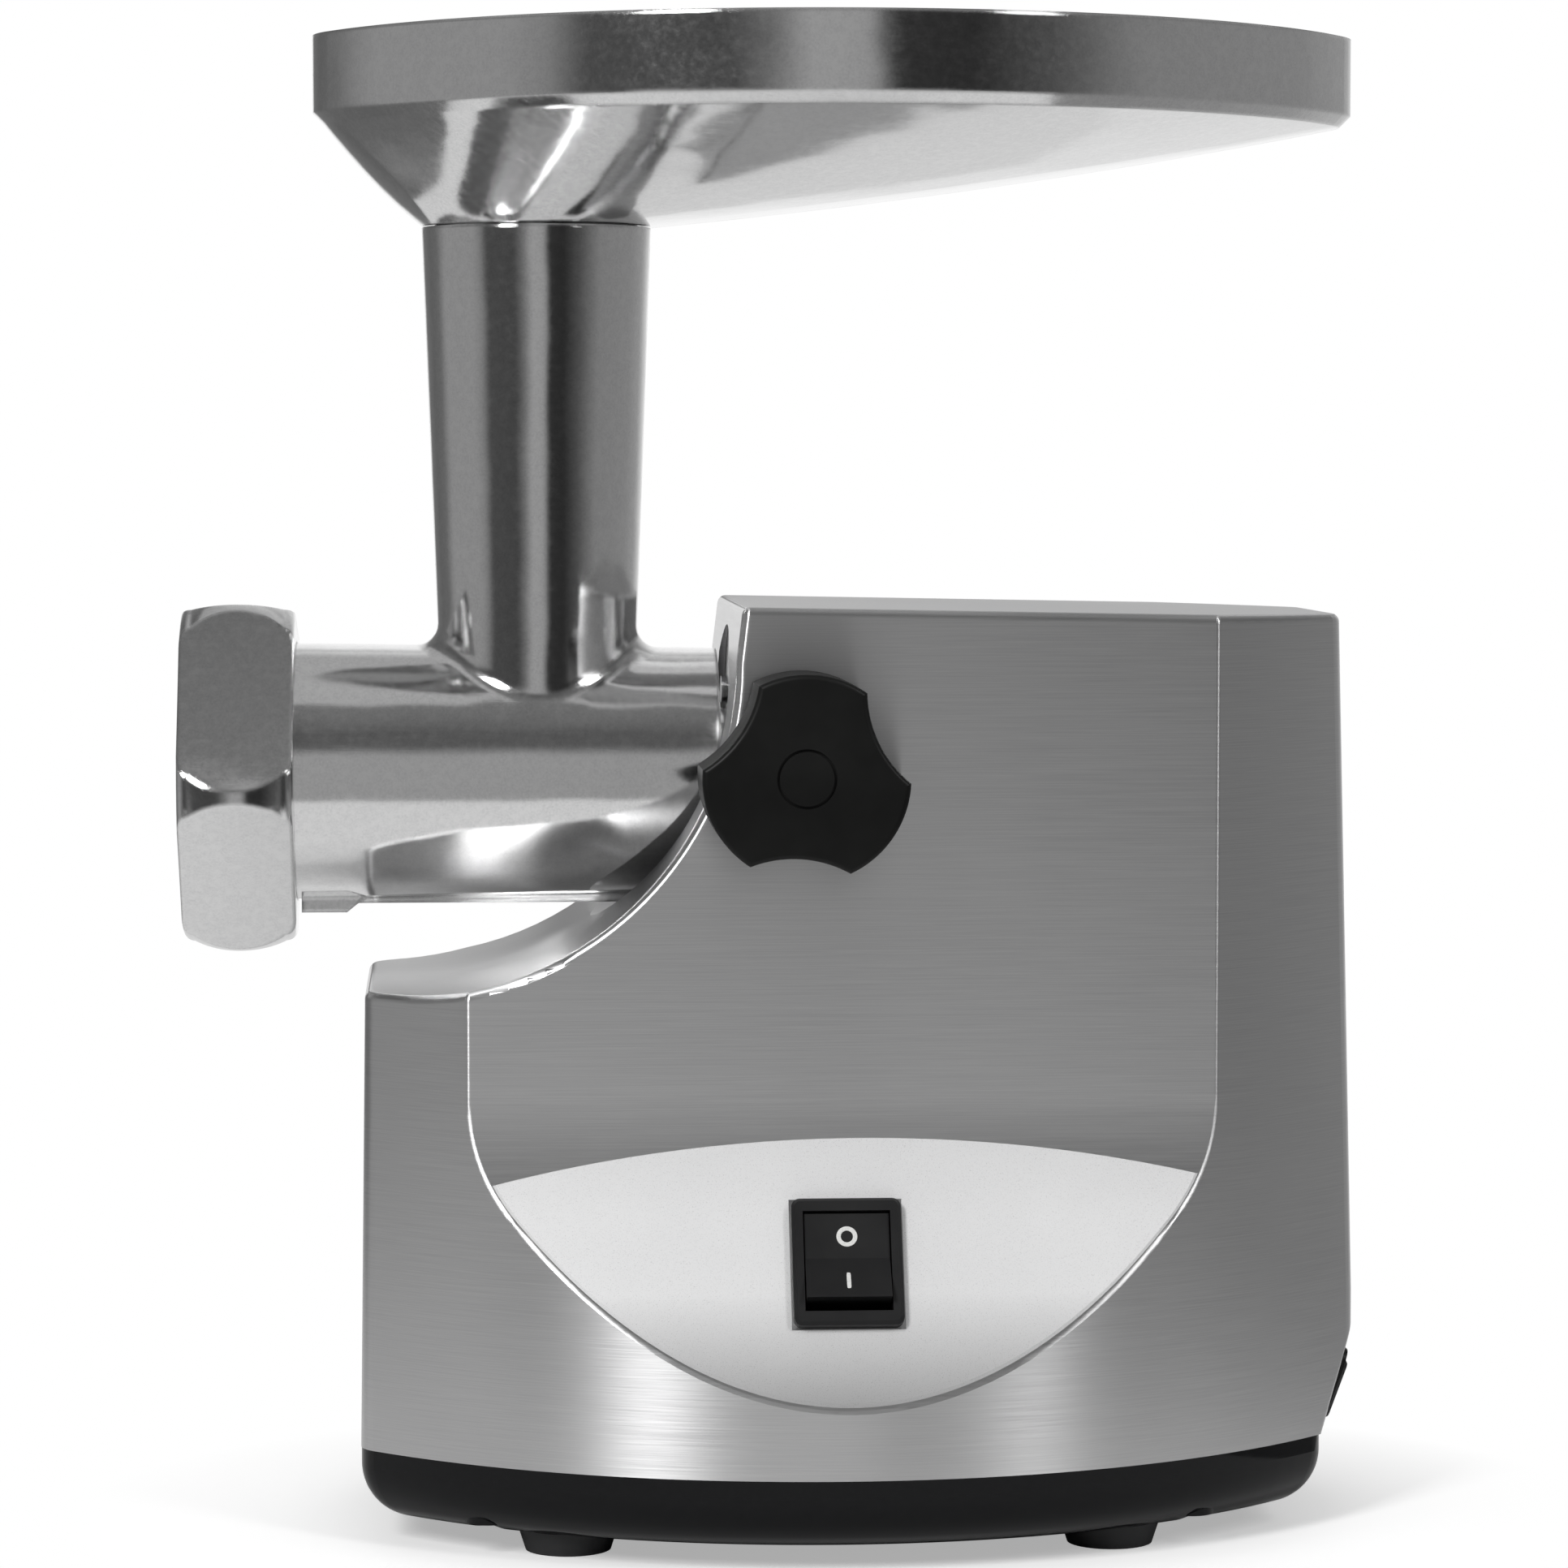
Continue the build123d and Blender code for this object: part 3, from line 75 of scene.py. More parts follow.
# the same grain in every direction; count is grains in a metre
def evenGrain(tree, count, detail=3.0, sharp=0.55):
    return grain(tree, (count, count, count), detail, sharp)


# straight bands on Object coordinates; count is bands in a metre along the axis
def bands(tree, axis, count, wander=0.0):
    phaseStep = 20   # radians the wave node turns in one unit at scale 1
    place = addNode(tree, "ShaderNodeTexCoord")
    wave = addNode(tree, "ShaderNodeTexWave", wave_type="BANDS", bands_direction=axis, wave_profile="SIN")
    wave.inputs["Scale"].default_value = count / phaseStep * math.pi * 2
    wave.inputs["Distortion"].default_value = wander
    joined(tree, place.outputs["Object"], wave.inputs["Vector"])
    return wave.outputs["Fac"]


# runs from low to high while the source runs from fromLow to fromHigh
def spread(tree, source, low, high, fromLow=0.3, fromHigh=0.7):
    reach = addNode(tree, "ShaderNodeMapRange")
    limits = (("From Min", fromLow), ("From Max", fromHigh), ("To Min", low), ("To Max", high))
    for title, value in limits:
        reach.inputs[title].default_value = value
    joined(tree, source, reach.inputs["Value"])
    return reach.outputs["Result"]


# a mix node keeps its values in inputs 2 and 3, its vectors in 4 and 5 and its colours in 6 and 7
def blended(tree, share, first, second):
    mix = addNode(tree, "ShaderNodeMix", data_type="FLOAT")
    joined(tree, share, mix.inputs[0])
    joined(tree, first, mix.inputs[2])
    joined(tree, second, mix.inputs[3])
    return mix.outputs[0]


# colour between two tones by a source value
def toned(tree, source, dark, light, fromLow=0.3, fromHigh=0.7):
    ramp = addNode(tree, "ShaderNodeValToRGB")
    ramp.color_ramp.elements[0].position = fromLow
    ramp.color_ramp.elements[0].color = (*dark, 1.0)
    ramp.color_ramp.elements[1].position = fromHigh
    ramp.color_ramp.elements[1].color = (*light, 1.0)
    joined(tree, source, ramp.inputs["Fac"])
    return ramp.outputs["Color"]


# height in metres from a source value, stacked on an earlier relief when one is given
def relief(tree, source, depth, strength=1.0, under=None):
    bump = addNode(tree, "ShaderNodeBump")
    bump.inputs["Strength"].default_value = strength
    bump.inputs["Distance"].default_value = depth
    joined(tree, source, bump.inputs["Height"])
    if under is not None:
        joined(tree, under, bump.inputs["Normal"])
    return bump.outputs["Normal"]


# height of the unit normal where a face stops being upright and where it counts as level
levelNormal = (0.72, 0.92)


# 0 on an upright face and 1 on a level one
def levelShare(tree):
    geometry = addNode(tree, "ShaderNodeNewGeometry")
    parts = addNode(tree, "ShaderNodeSeparateXYZ")
    size = addNode(tree, "ShaderNodeMath", operation="ABSOLUTE")
    joined(tree, geometry.outputs["Normal"], parts.inputs["Vector"])
    joined(tree, parts.outputs["Z"], size.inputs[0])
    return spread(tree, size.outputs[0], 0.0, 1.0, *levelNormal)


# gives a shader its colour, roughness and normal
def dressed(tree, shader, tone, rough, normal):
    joined(tree, tone, shader.inputs["Base Color"])
    joined(tree, rough, shader.inputs["Roughness"])
    joined(tree, normal, shader.inputs["Normal"])


# direction of the brushed lines: level on an upright face, along X on a level one
def brushedWay(tree, level):
    geometry = addNode(tree, "ShaderNodeNewGeometry")
    around = addNode(tree, "ShaderNodeVectorMath", operation="CROSS_PRODUCT")
    around.inputs[0].default_value = (0.0, 0.0, 1.0)
    joined(tree, geometry.outputs["Normal"], around.inputs[1])
    way = addNode(tree, "ShaderNodeMix", data_type="VECTOR")
    joined(tree, level, way.inputs[0])
    joined(tree, around.outputs["Vector"], way.inputs[4])
    way.inputs[5].default_value = (1.0, 0.0, 0.0)
    return way.outputs[1]


# housing: brushed aluminium, lines run level round the sides and along X on top

housingLook = dict(
    dark=(0.60, 0.60, 0.605), light=(0.73, 0.73, 0.73), rough=(0.30, 0.38), stretch=0.9, stretchTurn=0.25,
    lines=(45.0, 45.0, 4200.0), topLines=(45.0, 4200.0, 45.0), lineDetail=4.0, lineSharp=0.65,
    lineDepth=1.6e-6, lineStrength=0.6, clouds=(14.0, 14.0, 22.0), cloudShare=(0.1, 0.35))


def makeBrushedHousing():
    look = housingLook
    finish, tree, shader = startFinish("brushedHousing", Metallic=1.0, Anisotropic=look["stretch"],
                                       Anisotropic_Rotation=look["stretchTurn"])
    level = levelShare(tree)
    sideLines = grain(tree, look["lines"], look["lineDetail"], look["lineSharp"])
    topLines = grain(tree, look["topLines"], look["lineDetail"], look["lineSharp"])
    lines = blended(tree, level, sideLines, topLines)
    clouds = grain(tree, look["clouds"], detail=2.0)
    mixed = blended(tree, spread(tree, clouds, *look["cloudShare"]), lines, clouds)
    dressed(tree, shader, toned(tree, mixed, look["dark"], look["light"]),
            spread(tree, lines, *look["rough"]),
            relief(tree, lines, look["lineDepth"], look["lineStrength"]))
    joined(tree, brushedWay(tree, level), shader.inputs["Tangent"])
    return finish


# castings: polished aluminium with orange peel, pin holes and a few handling scratches

castLook = dict(
    dark=(0.70, 0.70, 0.705), light=(0.82, 0.82, 0.82), toneReach=(0.25, 0.6), rough=(0.08, 0.15),
    peel=520.0, peelShare=(0.2, 0.8), peelDepth=8.0e-6, peelStrength=0.5, pits=1900.0,
    scratches=(60.0, 2400.0, 900.0), scratchTurn=(0.4, 0.3, 0.6), scratchSharp=0.7, scratchReach=(0.66, 0.74),
    scratchDepth=4.0e-6, scratchStrength=0.5, waves=42.0, waveDepth=4.0e-4, edge=1.4e-3)


def makePolishedCasting(name="polishedCasting", rough=castLook["rough"], depth=castLook["peelDepth"]):
    look = castLook
    finish, tree, shader = startFinish(name, Metallic=1.0)
    peel = evenGrain(tree, look["peel"], detail=2.5)
    pits = evenGrain(tree, look["pits"], detail=2.0)
    scratches = grain(tree, look["scratches"], 2.0, look["scratchSharp"], look["scratchTurn"])
    speckle = blended(tree, spread(tree, peel, *look["peelShare"]), pits, peel)
    tone = toned(tree, speckle, look["dark"], look["light"], *look["toneReach"])
    wear = spread(tree, blended(tree, pits, scratches, peel), *rough)
    edge = addNode(tree, "ShaderNodeBevel", samples=4)   # edges worn round by the polishing wheel
    edge.inputs["Radius"].default_value = look["edge"]
    waves = evenGrain(tree, look["waves"], detail=1.0)
    skin = relief(tree, waves, look["waveDepth"], 1.0, edge.outputs["Normal"])
    skin = relief(tree, peel, depth, look["peelStrength"], skin)
    cuts = spread(tree, scratches, 0.0, 1.0, *look["scratchReach"])
    skin = relief(tree, cuts, look["scratchDepth"], look["scratchStrength"], skin)
    dressed(tree, shader, tone, wear, skin)
    return finish


# base: glossy black moulding with a soft ripple

glossLook = dict(
    dark=(0.002, 0.0021, 0.0026), light=(0.004, 0.0042, 0.0048), rough=(0.03, 0.08), roughReach=(0.35, 0.75),
    shine=0.2, dust=700.0, ripple=90.0, rippleDepth=1.2e-5, rippleStrength=0.35)


def makeBlackGloss():
    look = glossLook
    finish, tree, shader = startFinish("blackGloss", Specular_IOR_Level=look["shine"])
    ripple = evenGrain(tree, look["ripple"], detail=1.0)
    dust = evenGrain(tree, look["dust"], detail=4.0, sharp=0.7)
    dressed(tree, shader, toned(tree, dust, look["dark"], look["light"]),
            spread(tree, dust, *look["rough"], *look["roughReach"]),
            relief(tree, ripple, look["rippleDepth"], look["rippleStrength"]))
    return finish


# knob, switches and rear panel: satin black moulding with a spark-eroded grain

satinLook = dict(
    dark=(0.0040, 0.0041, 0.0039), light=(0.0070, 0.0072, 0.0068), rough=(0.36, 0.52), shine=0.22,
    hands=60.0, spark=3200.0, sparkDepth=1.2e-5, sparkStrength=0.4)


def makeBlackSatin(name="blackSatin", dark=satinLook["dark"], light=satinLook["light"]):
    look = satinLook
    finish, tree, shader = startFinish(name, Specular_IOR_Level=look["shine"])
    spark = evenGrain(tree, look["spark"], sharp=0.7)
    hands = evenGrain(tree, look["hands"])
    dressed(tree, shader, toned(tree, hands, dark, light),
            spread(tree, blended(tree, hands, spark, hands), *look["rough"]),
            relief(tree, spark, look["sparkDepth"], look["sparkStrength"]))
    return finish


# feet and cord gland: dull rubber with dust in its grain

rubberLook = dict(
    dark=(0.017, 0.017, 0.018), light=(0.036, 0.036, 0.037), rough=(0.55, 0.82), dust=260.0,
    skin=1500.0, skinDepth=3.0e-5, skinStrength=0.5)


def makeFootRubber():
    look = rubberLook
    finish, tree, shader = startFinish("footRubber")
    dust = evenGrain(tree, look["dust"], detail=5.0, sharp=0.7)
    skin = evenGrain(tree, look["skin"], detail=2.0)
    dressed(tree, shader, toned(tree, dust, look["dark"], look["light"]),
            spread(tree, dust, *look["rough"]),
            relief(tree, skin, look["skinDepth"], look["skinStrength"]))
    return finish


# label: bare satin film with a faint metallic fleck, darker towards its lower tip

labelLook = dict(
    dark=(0.88, 0.88, 0.885), light=(0.95, 0.95, 0.95), rough=(0.26, 0.40), metal=0.2, fleck=5200.0,
    waves=26.0, waveDepth=2.5e-5, waveStrength=0.25, tipShade=0.45, shadeHeights=(0.038, 0.062))


def makePaleLabel():
    look = labelLook
    finish, tree, shader = startFinish("paleLabel", Metallic=look["metal"])
    fleck = evenGrain(tree, look["fleck"], detail=1.0)
    waves = evenGrain(tree, look["waves"], detail=2.0)
    place = addNode(tree, "ShaderNodeTexCoord")
    parts = addNode(tree, "ShaderNodeSeparateXYZ")
    joined(tree, place.outputs["Object"], parts.inputs["Vector"])
    film = addNode(tree, "ShaderNodeVectorMath", operation="SCALE")
    tone = toned(tree, blended(tree, waves, fleck, waves), look["dark"], look["light"])
    joined(tree, tone, film.inputs[0])
    shade = spread(tree, parts.outputs["Z"], look["tipShade"], 1.0, *look["shadeHeights"])
    joined(tree, shade, film.inputs["Scale"])
    dressed(tree, shader, film.outputs["Vector"], spread(tree, fleck, *look["rough"]),
            relief(tree, waves, look["waveDepth"], look["waveStrength"]))
    return finish


# inner metals and plastics

steelLook = dict(
    dark=(0.46, 0.46, 0.47), light=(0.62, 0.62, 0.62), rough=(0.18, 0.36), stains=70.0,
    lines=(1400.0, 40.0, 40.0), lineDepth=6.0e-6, lineStrength=0.5)


def makeGroundSteel():
    look = steelLook
    finish, tree, shader = startFinish("groundSteel", Metallic=1.0)
    lines = grain(tree, look["lines"], detail=4.0, sharp=0.7)
    stains = evenGrain(tree, look["stains"])
    dressed(tree, shader, toned(tree, stains, look["dark"], look["light"]),
            spread(tree, lines, *look["rough"]),
            relief(tree, lines, look["lineDepth"], look["lineStrength"]))
    return finish


laminateLook = dict(
    dark=(0.20, 0.20, 0.215), light=(0.34, 0.34, 0.35), rough=(0.34, 0.52), stains=110.0,
    sheets=1500.0, sheetWander=0.6, sheetDepth=4.0e-5, sheetStrength=0.5)


def makeLaminatedSteel():
    look = laminateLook
    finish, tree, shader = startFinish("laminatedSteel", Metallic=1.0)
    sheets = bands(tree, "X", look["sheets"], look["sheetWander"])
    stains = evenGrain(tree, look["stains"], detail=4.0)
    dressed(tree, shader, toned(tree, stains, look["dark"], look["light"]),
            spread(tree, stains, *look["rough"]),
            relief(tree, sheets, look["sheetDepth"], look["sheetStrength"]))
    return finish


copperLook = dict(
    dark=(0.40, 0.14, 0.05), light=(0.70, 0.32, 0.13), rough=(0.22, 0.42), metal=0.85, coat=0.4,
    coatRough=0.15, tint=180.0, turns=1300.0, turnWander=1.4, turnDepth=1.6e-4, turnStrength=0.7)


def makeWoundCopper():
    look = copperLook
    finish, tree, shader = startFinish("woundCopper", Metallic=look["metal"], Coat_Weight=look["coat"],
                                       Coat_Roughness=look["coatRough"])
    turns = bands(tree, "Z", look["turns"], look["turnWander"])
    tint = evenGrain(tree, look["tint"])
    dressed(tree, shader, toned(tree, tint, look["dark"], look["light"]),
            spread(tree, turns, *look["rough"], 0.0, 1.0),
            relief(tree, turns, look["turnDepth"], look["turnStrength"]))
    return finish


# finishes whose colour, roughness and relief all follow one grain
bronzeLook = dict(
    dark=(0.36, 0.23, 0.09), light=(0.66, 0.46, 0.22), rough=(0.30, 0.52),
    grains=2600.0, detail=3.0, sharp=0.75, depth=2.0e-5, strength=0.6, sockets=dict(Metallic=1.0))
nylonLook = dict(
    dark=(0.70, 0.68, 0.60), light=(0.82, 0.80, 0.74), rough=(0.36, 0.52),
    grains=130.0, detail=3.0, sharp=0.55, depth=3.0e-5, strength=0.3,
    sockets=dict(Subsurface_Weight=0.15, Subsurface_Scale=0.003))
carbonLook = dict(
    dark=(0.022, 0.022, 0.023), light=(0.085, 0.085, 0.088), rough=(0.40, 0.65),
    grains=2200.0, detail=3.0, sharp=0.7, depth=2.0e-5, strength=0.6, sockets=dict(Metallic=0.3))
paintLook = dict(
    dark=(0.62, 0.62, 0.61), light=(0.82, 0.82, 0.80), toneReach=(0.25, 0.5), rough=(0.38, 0.60),
    grains=1800.0, detail=4.0, sharp=0.7, depth=1.0e-5, strength=0.4, sockets={})


def makeGrainy(name, look):
    finish, tree, shader = startFinish(name, **look["sockets"])
    grit = evenGrain(tree, look["grains"], look["detail"], look["sharp"])
    tone = toned(tree, grit, look["dark"], look["light"], *look.get("toneReach", ()))
    dressed(tree, shader, tone, spread(tree, grit, *look["rough"]),
            relief(tree, grit, look["depth"], look["strength"]))
    return finish


# by the CAD's own slot names
finishes = dict(
    brushed_housing=makeBrushedHousing(), cast_aluminium=makePolishedCasting(), black_gloss=makeBlackGloss(),
    black_satin=makeBlackSatin(), foot_rubber=makeFootRubber(), pale_label=makePaleLabel(),
    steel=makeGroundSteel(), dark_steel=makeLaminatedSteel(), copper=makeWoundCopper(),
    bronze=makeGrainy("sinteredBronze", bronzeLook), nylon=makeGrainy("naturalNylon", nylonLook),
    carbon=makeGrainy("pressedCarbon", carbonLook))
# and for single nodes: castings left dull, and the switches' paler black
dullLook = dict(rough=(0.26, 0.40), depth=6.0e-5)
switchLook = dict(dark=(0.010, 0.010, 0.0105), light=(0.015, 0.015, 0.0155))
dullCasting = makePolishedCasting("dullCasting", **dullLook)
switchSatin = makeBlackSatin("switchSatin", **switchLook)
nodeFinish = dict(
    auger=dullCasting, head_socket=dullCasting, power_switch_body=switchSatin, power_rocker=switchSatin,
    reverse_switch_body=switchSatin, reverse_rocker=switchSatin)

for nodeName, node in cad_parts.items():
    for held in node.material_slots:
        held.material = nodeFinish.get(nodeName, finishes[held.name.split(".")[0]])
print("finishes given:", len(bpy.data.materials))


# new pieces: surfaces on a grid of two parameters

weldGap = 1e-7   # metres within which the points of a pole are joined


# points is rows x columns x 3; a closed direction joins its last line to its first
def surfacePiece(name, points, closedRows, closedColumns, finish, body):
    rows, columns = points.shape[:2]
    below = np.arange(rows if closedRows else rows - 1)
    along = np.arange(columns if closedColumns else columns - 1)
    i, j = np.meshgrid(below, along, indexing="ij")
    nextRow, nextColumn = (i + 1) % rows, (j + 1) % columns
    corners = ((i, j), (i, nextColumn), (nextRow, nextColumn), (nextRow, j))
    faces = np.stack([row * columns + column for row, column in corners], axis=-1).reshape(-1, 4)
    mesh = bpy.data.meshes.new(name)
    mesh.from_pydata(points.reshape(-1, 3).tolist(), [], faces.tolist())
    work = bmesh.new()
    work.from_mesh(mesh)
    bmesh.ops.remove_doubles(work, verts=work.verts, dist=weldGap)
    bmesh.ops.recalc_face_normals(work, faces=work.faces)
    work.to_mesh(mesh)
    work.free()
    mesh.polygons.foreach_set("use_smooth", np.ones(len(mesh.polygons), dtype=bool))
    mesh.materials.append(finish)
    piece = bpy.data.objects.new(name, mesh)
    bpy.context.scene.collection.objects.link(piece)
    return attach(piece, body)


# switch marks: a ring on the upper wing of the power rocker and a bar on the lower one
# lengths in millimetres and angles in degrees; seat, slope and the wing's sizes are those of the CAD rocker
markLook = dict(
    seat=(13.5, -65.3507, 68.0), slope=25.5, crest=4.3, dip=1.7, half=10.25, pivotDepth=2.0, tilt=9.4,
    ringUp=5.0, ringOuter=2.35, ringInner=1.35, barUp=-5.9, barLength=4.2, barWidth=0.95,
    rise=0.09, sink=0.12, turns=64, ringSteps=20, barSteps=17,
    sectionPower=0.5, outlinePower=0.35, domePower=0.25)
millimetre = 0.001


# a wing point at a distance up from the middle:
# local (y, z) on the wing, turned about the pivot, then set on the slope
def wingFrame(up):
    look = markLook
    side = math.copysign(1.0, up)
    lean = side * math.atan2(look["dip"], look["half"]) - math.radians(look["tilt"])
    height = look["crest"] - look["dip"] + abs(up) * look["dip"] / look["half"] + look["pivotDepth"]
    turn = -math.radians(look["tilt"])
    y = up * math.cos(turn) - height * math.sin(turn)
    z = up * math.sin(turn) + height * math.cos(turn) - look["pivotDepth"]
    slope = math.radians(look["slope"])
    upward = np.array((0.0, math.sin(slope), math.cos(slope)))
    outward = np.array((0.0, -math.cos(slope), math.sin(slope)))
    centre = np.array(look["seat"]) + y * upward + z * outward
    wingUp = math.cos(lean) * upward + math.sin(lean) * outward
    wingOut = math.cos(lean) * outward - math.sin(lean) * upward
    return centre * millimetre, wingUp, wingOut


# places flat (across, rise, out) millimetres on the wing whose middle is at a distance up
def onWing(up, across, rise, out):
    centre, wingUp, wingOut = wingFrame(up)
    sideways = np.array((1.0, 0.0, 0.0))
    offset = across[..., None] * sideways + rise[..., None] * wingUp + out[..., None] * wingOut
    return centre + offset * millimetre


# keeps the sign of a wave and flattens it by a power, as a superellipse does
def flattened(wave, power):
    return np.sign(wave) * np.abs(wave) ** power


# heights of a mark's section, from its sink to its rise
def markHeights(sine):
    look = markLook
    middle = (look["rise"] - look["sink"]) / 2
    return flattened(sine, look["sectionPower"]) * (look["rise"] + look["sink"]) / 2 + middle


# ring: a rounded oblong section (superellipse of the angle v) carried round a circle (angle u)
def makeRingMark():
    look = markLook
    u = np.linspace(0, 2 * np.pi, look["turns"], endpoint=False)[:, None]
    v = np.linspace(0, 2 * np.pi, look["ringSteps"], endpoint=False)[None, :]
    wide = flattened(np.cos(v), look["sectionPower"]) * (look["ringOuter"] - look["ringInner"]) / 2
    radius = (look["ringOuter"] + look["ringInner"]) / 2 + wide
    tall = markHeights(np.sin(v))
    points = onWing(look["ringUp"], radius * np.cos(u), radius * np.sin(u), tall + 0 * u)
    return surfacePiece("offMark", points, True, True, finishes["switchPaint"], "power_button")


# bar: a rounded oblong outline (superellipse of u) scaled by a low dome section (v), shut at both poles
def makeBarMark():
    look = markLook
    u = np.linspace(0, 2 * np.pi, look["turns"], endpoint=False)[None, :]
    v = np.linspace(-np.pi / 2, np.pi / 2, look["barSteps"])[:, None]
    outline = np.cos(v) ** look["domePower"]
    outline[[0, -1]] = 0.0
    tall = markHeights(np.sin(v))
    across = flattened(np.cos(u), look["outlinePower"]) * look["barWidth"] / 2 * outline
    rise = flattened(np.sin(u), look["outlinePower"]) * look["barLength"] / 2 * outline
    points = onWing(look["barUp"], across, rise, tall + 0 * u)
    return surfacePiece("onMark", points, False, True, finishes["switchPaint"], "power_button")


finishes["switchPaint"] = makeGrainy("switchPaint", paintLook)
makeRingMark()
makeBarMark()


# studio: pale floor, soft lamps, a white room that is darker on the camera's side

white = (1.0, 1.0, 1.0, 1.0)


# one sum on two values
def reckoned(tree, operation, first, second):
    step = addNode(tree, "ShaderNodeMath", operation=operation)
    joined(tree, first, step.inputs[0])
    joined(tree, second, step.inputs[1])
    return step.outputs[0]


# a mix from a first colour to a second one, which is given to the input that comes back
def mixedColour(tree, share, first):
    mix = addNode(tree, "ShaderNodeMix", data_type="RGBA")
    joined(tree, share, mix.inputs[0])
    joined(tree, first, mix.inputs[6])
    return mix.inputs[7], mix.outputs[2]


# sides: room brightness by direction round the object, degrees from the camera's side, to the right positive
# top: brightness by height overhead, as the sine of the angle above level
# the four fades are heights or depths of a unit direction at which one part of the room gives way to another
roomLook = dict(
    sides=((-180, 1.0), (-173, 0.7), (-164, 0.18), (-140, 0.13), (-122, 0.15), (-108, 0.30), (-70, 0.30),
           (-60, 0.24), (-52, 0.07), (-22, 0.06), (-13, 0.18), (-6, 0.36), (6.5, 0.34), (12, 0.03),
           (28, 0.025), (44, 0.08), (66, 0.23), (112, 0.26), (136, 0.34), (160, 0.7), (180, 1.0)),
    top=((0.35, 0.11), (0.6, 0.10), (0.8, 0.17), (1.0, 0.20)),
    topFade=(0.28, 0.42), frontFade=(0.2, 0.8), highFade=(0.45, 0.8), behindFade=(0.95, 0.985))


def makeRoom():
    look = roomLook
    world = bpy.data.worlds.new("studioRoom")
    bpy.context.scene.world = world
    world.use_nodes = True
    tree = world.node_tree
    paint = tree.nodes["Background"]
    place = addNode(tree, "ShaderNodeTexCoord")
    parts = addNode(tree, "ShaderNodeSeparateXYZ")
    joined(tree, place.outputs["Generated"], parts.inputs["Vector"])
    towards = addNode(tree, "ShaderNodeMath", operation="MULTIPLY")
    towards.inputs[1].default_value = -1.0
    joined(tree, parts.outputs["Y"], towards.inputs[0])
    around = reckoned(tree, "ARCTAN2", parts.outputs["X"], towards.outputs[0])
    stops = [((angle + 180) / 360, tone) for angle, tone in look["sides"]]
    sides = roomRamp(tree, spread(tree, around, 0.0, 1.0, -math.pi, math.pi), stops)
    # overhead, the room takes its brightness by height; on the far side only from higher up
    share = spread(tree, parts.outputs["Z"], 0.0, 1.0, *look["topFade"])
    front = spread(tree, parts.outputs["Y"], 1.0, 0.0, *look["frontFade"])
    high = spread(tree, parts.outputs["Z"], 0.0, 1.0, *look["highFade"])
    topShare = reckoned(tree, "MULTIPLY", share, reckoned(tree, "MAXIMUM", front, high))
    overhead, room = mixedColour(tree, topShare, sides)
    joined(tree, roomRamp(tree, parts.outputs["Z"], look["top"]), overhead)
    # the camera sees plain white, and metal sees it only straight behind the object
    seen = addNode(tree, "ShaderNodeLightPath")
    farBehind = spread(tree, parts.outputs["Y"], 0.0, 1.0, *look["behindFade"])
    behind = reckoned(tree, "MULTIPLY", seen.outputs["Is Glossy Ray"], farBehind)
    straight = reckoned(tree, "MAXIMUM", seen.outputs["Is Camera Ray"], seen.outputs["Is Transmission Ray"])
    plain, colour = mixedColour(tree, reckoned(tree, "MAXIMUM", straight, behind), room)
    plain.default_value = white
    joined(tree, colour, paint.inputs["Color"])


def roomRamp(tree, source, stops):
    ramp = addNode(tree, "ShaderNodeValToRGB")
    elements = ramp.color_ramp.elements
    for position, tone in stops[1:-1]:
        elements.new(position).color = (tone, tone, tone, 1.0)
    for end, (position, tone) in ((elements[0], stops[0]), (elements[-1], stops[-1])):
        end.position = position
        end.color = (tone, tone, tone, 1.0)
    joined(tree, source, ramp.inputs["Fac"])
    return ramp.outputs["Color"]


# span is the floor's near left and far right corner; inMetal is its brightness in reflections
floorLook = dict(
    span=((-0.32, -0.40), (0.21, 0.75)), cells=8, tone=(0.92, 0.92, 0.92), rough=0.9, lift=0.4, inMetal=0.72,
    shadowMiddle=0.0157, shadowHalf=(0.122, 0.092), shadowFade=(0.95, 1.5))


# floor: a level grid whose two parameters are its own X and Y
def floorMesh():
    (left, front), (right, back) = floorLook["span"]
    cells = floorLook["cells"]
    points = cells + 1
    x, y = np.meshgrid(np.linspace(left, right, points), np.linspace(front, back, points), indexing="ij")
    i, j = np.meshgrid(np.arange(cells), np.arange(cells), indexing="ij")
    corners = ((i, j), (i + 1, j), (i + 1, j + 1), (i, j + 1))
    faces = np.stack([row * points + column for row, column in corners], axis=-1).reshape(-1, 4)
    mesh = bpy.data.meshes.new("studioFloor")
    mesh.from_pydata(np.stack([x, y, 0 * x], axis=-1).reshape(-1, 3).tolist(), [], faces.tolist())
    return mesh


# the shadow stays on an oval round the base, and outside it the floor runs into the white behind
def outsideOval(tree):
    halfLength, halfWidth = floorLook["shadowHalf"]
    place = addNode(tree, "ShaderNodeTexCoord")
    oval = addNode(tree, "ShaderNodeMapping")
    oval.inputs["Scale"].default_value = (1 / halfLength, 1 / halfWidth, 0.0)
    oval.inputs["Location"].default_value = (-floorLook["shadowMiddle"] / halfLength, 0.0, 0.0)
    away = addNode(tree, "ShaderNodeVectorMath", operation="LENGTH")
    joined(tree, place.outputs["Object"], oval.inputs["Vector"])
    joined(tree, oval.outputs["Vector"], away.inputs[0])
    return spread(tree, away.outputs["Value"], 0.0, 1.0, *floorLook["shadowFade"])


